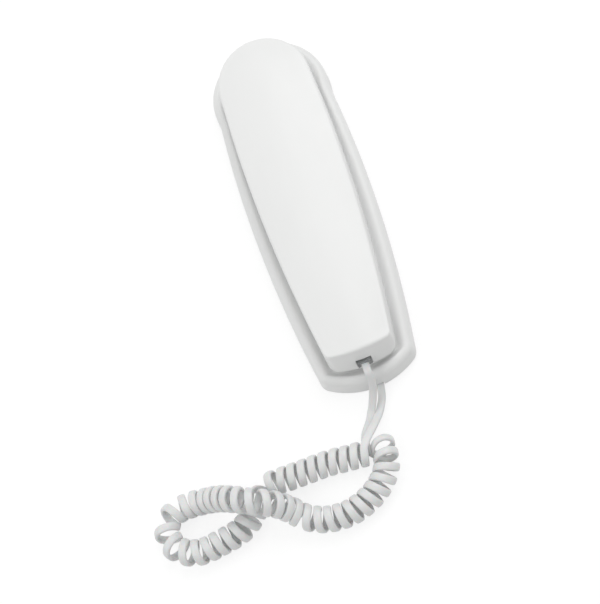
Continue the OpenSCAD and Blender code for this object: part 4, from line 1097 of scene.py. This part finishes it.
class PHONE_OT_cords(bpy.types.Operator):
    """Lay the curly cord with its lead from the base, and the lead from the handset"""
    bl_idname = "phone.cords"
    bl_label = "Cords"

    def execute(self, context):
        sizes = context.scene.phone_cord
        width, thick = sizes.width / MM, sizes.thickness / MM
        base_lead = base_lead_points()
        end = [Vector(p) for p in COIL_END]
        curls, curl_broads = curl_line()
        first = base_lead[:-1] + [Vector(p) for p in COIL_START]
        points = first + curls + end
        broads = level_broad(first) + curl_broads + level_broad(end)
        curly, path = band("curly_cord_band", points, broads, width, thick, sizes.steps)
        place(curly, "cord_plastic", "base", "curly_cord", "base_lead")
        handset_lead = handset_lead_points()
        lead, lead_path = band("handset_lead_band", handset_lead, level_broad(handset_lead), width, thick,
                               sizes.steps * 2)
        place(lead, "cord_plastic", None, "handset_lead")
        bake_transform(lead)
        return {"FINISHED"}


class PHONE_OT_base_cover(bpy.types.Operator):
    """Make the dished cover of the base"""
    bl_idname = "phone.base_cover"
    bl_label = "Base cover"

    def execute(self, context):
        place(base_cover(), "shell_plastic", "base", "base_shell")
        return {"FINISHED"}


class PHONE_OT_base_underside(bpy.types.Operator):
    """Round the edges of the base plate, feet, screws and jacks"""
    bl_idname = "phone.base_underside"
    bl_label = "Base underside"

    def execute(self, context):
        round_solids("base", ("base_plate", "plate_plastic", 0.25), ("base_feet", "foot_rubber", 0.4, 3),
                     ("base_screws", "screw_steel", 0.12), ("base_jack", "jack_plastic", 0.12),
                     ("line_jack", "jack_plastic", 0.12))
        return {"FINISHED"}


class PHONE_OT_base_works(bpy.types.Operator):
    """Finish the hook, plunger, switch, board, ballast and ringer in the base"""
    bl_idname = "phone.base_works"
    bl_label = "Base works"

    def execute(self, context):
        round_solids("base", ("handset_hook", "shell_plastic", 0.25, 3))
        round_solids("hook_plunger", ("hook_plunger", "key_plastic", 0.3, 3))
        for node, slot in (("hook_switch", "black_plastic"), ("base_weight", "ballast_steel"),
                           ("base_board", "board_green"), ("ringer", "ringer_brass")):
            round_solids("base", (node, slot, 0.15))
        return {"FINISHED"}


class PHONE_OT_back_cover(bpy.types.Operator):
    """Make the crowned back cover of the handset"""
    bl_idname = "phone.back_cover"
    bl_label = "Handset back"

    def execute(self, context):
        place(back_cover(), "shell_plastic", "handset", "handset_back")
        return {"FINISHED"}


class PHONE_OT_front_cover(bpy.types.Operator):
    """Make the front cover of the handset with its cups and key openings"""
    bl_idname = "phone.front_cover"
    bl_label = "Handset front"

    def execute(self, context):
        place(front_cover(), "shell_plastic", "handset", "handset_front")
        return {"FINISHED"}


class PHONE_OT_keys(bpy.types.Operator):
    """Round the key caps and mark them"""
    bl_idname = "phone.keys"
    bl_label = "Keys"

    def execute(self, context):
        for name, (x, y) in zip(DIGITS + FUNCTION_KEYS, key_places()):
            slot = "function_key_plastic" if name in FUNCTION_KEYS else "key_plastic"
            node = "key_" + name
            place(copy_of_solid(node, node + "_cap", 0.3, 3), slot, node, node)
            if context.scene.phone_stage.show_marks:
                mark = key_mark(name, x, y)
                mark.data.materials.clear()
                mark.data.materials.append(finish_of("ink"))
                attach(mark, node)
        return {"FINISHED"}


class PHONE_OT_handset_works(bpy.types.Operator):
    """Finish the slider, jack, capsules, mat and board of the handset"""
    bl_idname = "phone.handset_works"
    bl_label = "Handset works"

    def execute(self, context):
        round_solids("volume_slider", ("volume_slider", "function_key_plastic", 0.2, 3))
        for node, slot in (("handset_screws", "screw_steel"), ("receiver_capsule", "receiver_plastic"),
                           ("microphone_boot", "boot_rubber"), ("microphone_capsule", "capsule_metal"),
                           ("keypad_mat", "mat_rubber"), ("keypad_board", "board_brown"),
                           ("volume_switch", "black_plastic"), ("handset_jack", "jack_plastic")):
            round_solids("handset", (node, slot, 0.12))
        return {"FINISHED"}


class PHONE_OT_solid_finishes(bpy.types.Operator):
    """Give the solids that stay in view their finishes"""
    bl_idname = "phone.solid_finishes"
    bl_label = "Solid finishes"

    def execute(self, context):
        slots = {row["node"]: row["material_slot"] for row in frame["record"]["subparts"]}
        for name, node in NODES.items():
            node.data.materials.clear()
            node.data.materials.append(finish_of(slots[name]))
        return {"FINISHED"}


class PHONE_OT_stage(bpy.types.Operator):
    """Set the pale floor, the white surroundings and the soft lamps"""
    bl_idname = "phone.stage"
    bl_label = "Stage"

    def execute(self, context):
        values = context.scene.phone_stage
        set_floor(values)
        set_world(values)
        add_softbox("key softbox", KEY_PLACE, KEY_SIZE, values.key_power)
        add_softbox("side softbox", SIDE_PLACE, SIDE_SIZE, values.key_power * SIDE_SHARE)
        context.scene.view_settings.view_transform = "Standard"
        return {"FINISHED"}


class PHONE_PT_panel(bpy.types.Panel):
    """Steps and settings of the telephone"""
    bl_idname = "PHONE_PT_panel"
    bl_label = "Telephone"
    bl_space_type = "VIEW_3D"
    bl_region_type = "UI"
    bl_category = "Telephone"

    def draw(self, context):
        layout = self.layout
        for group in (context.scene.phone_finish, context.scene.phone_cord, context.scene.phone_stage):
            for name in group.__annotations__:
                layout.prop(group, name)
        for operator in OPERATORS:
            layout.operator(operator.bl_idname)


GROUPS = {"phone_finish": PhoneFinish, "phone_cord": PhoneCord, "phone_stage": PhoneStage}
OPERATORS = (PHONE_OT_camera, PHONE_OT_cords, PHONE_OT_solid_finishes, PHONE_OT_base_cover,
             PHONE_OT_base_underside, PHONE_OT_base_works, PHONE_OT_back_cover, PHONE_OT_front_cover,
             PHONE_OT_keys, PHONE_OT_handset_works, PHONE_OT_stage)


def register():
    for name, group in GROUPS.items():
        bpy.utils.register_class(group)
        setattr(bpy.types.Scene, name, PointerProperty(type=group))
    for entry in (*OPERATORS, PHONE_PT_panel):
        bpy.utils.register_class(entry)


def unregister():
    for entry in reversed((*OPERATORS, PHONE_PT_panel)):
        bpy.utils.unregister_class(entry)
    for name, group in GROUPS.items():
        delattr(bpy.types.Scene, name)
        bpy.utils.unregister_class(group)


def main():
    register()
    bpy.ops.phone.camera()
    bpy.ops.phone.cords()
    bpy.ops.phone.solid_finishes()
    bpy.ops.phone.base_cover()
    bpy.ops.phone.base_underside()
    bpy.ops.phone.base_works()
    bpy.ops.phone.back_cover()
    bpy.ops.phone.front_cover()
    bpy.ops.phone.keys()
    bpy.ops.phone.handset_works()
    bpy.ops.phone.stage()


if __name__ == "__main__":
    main()
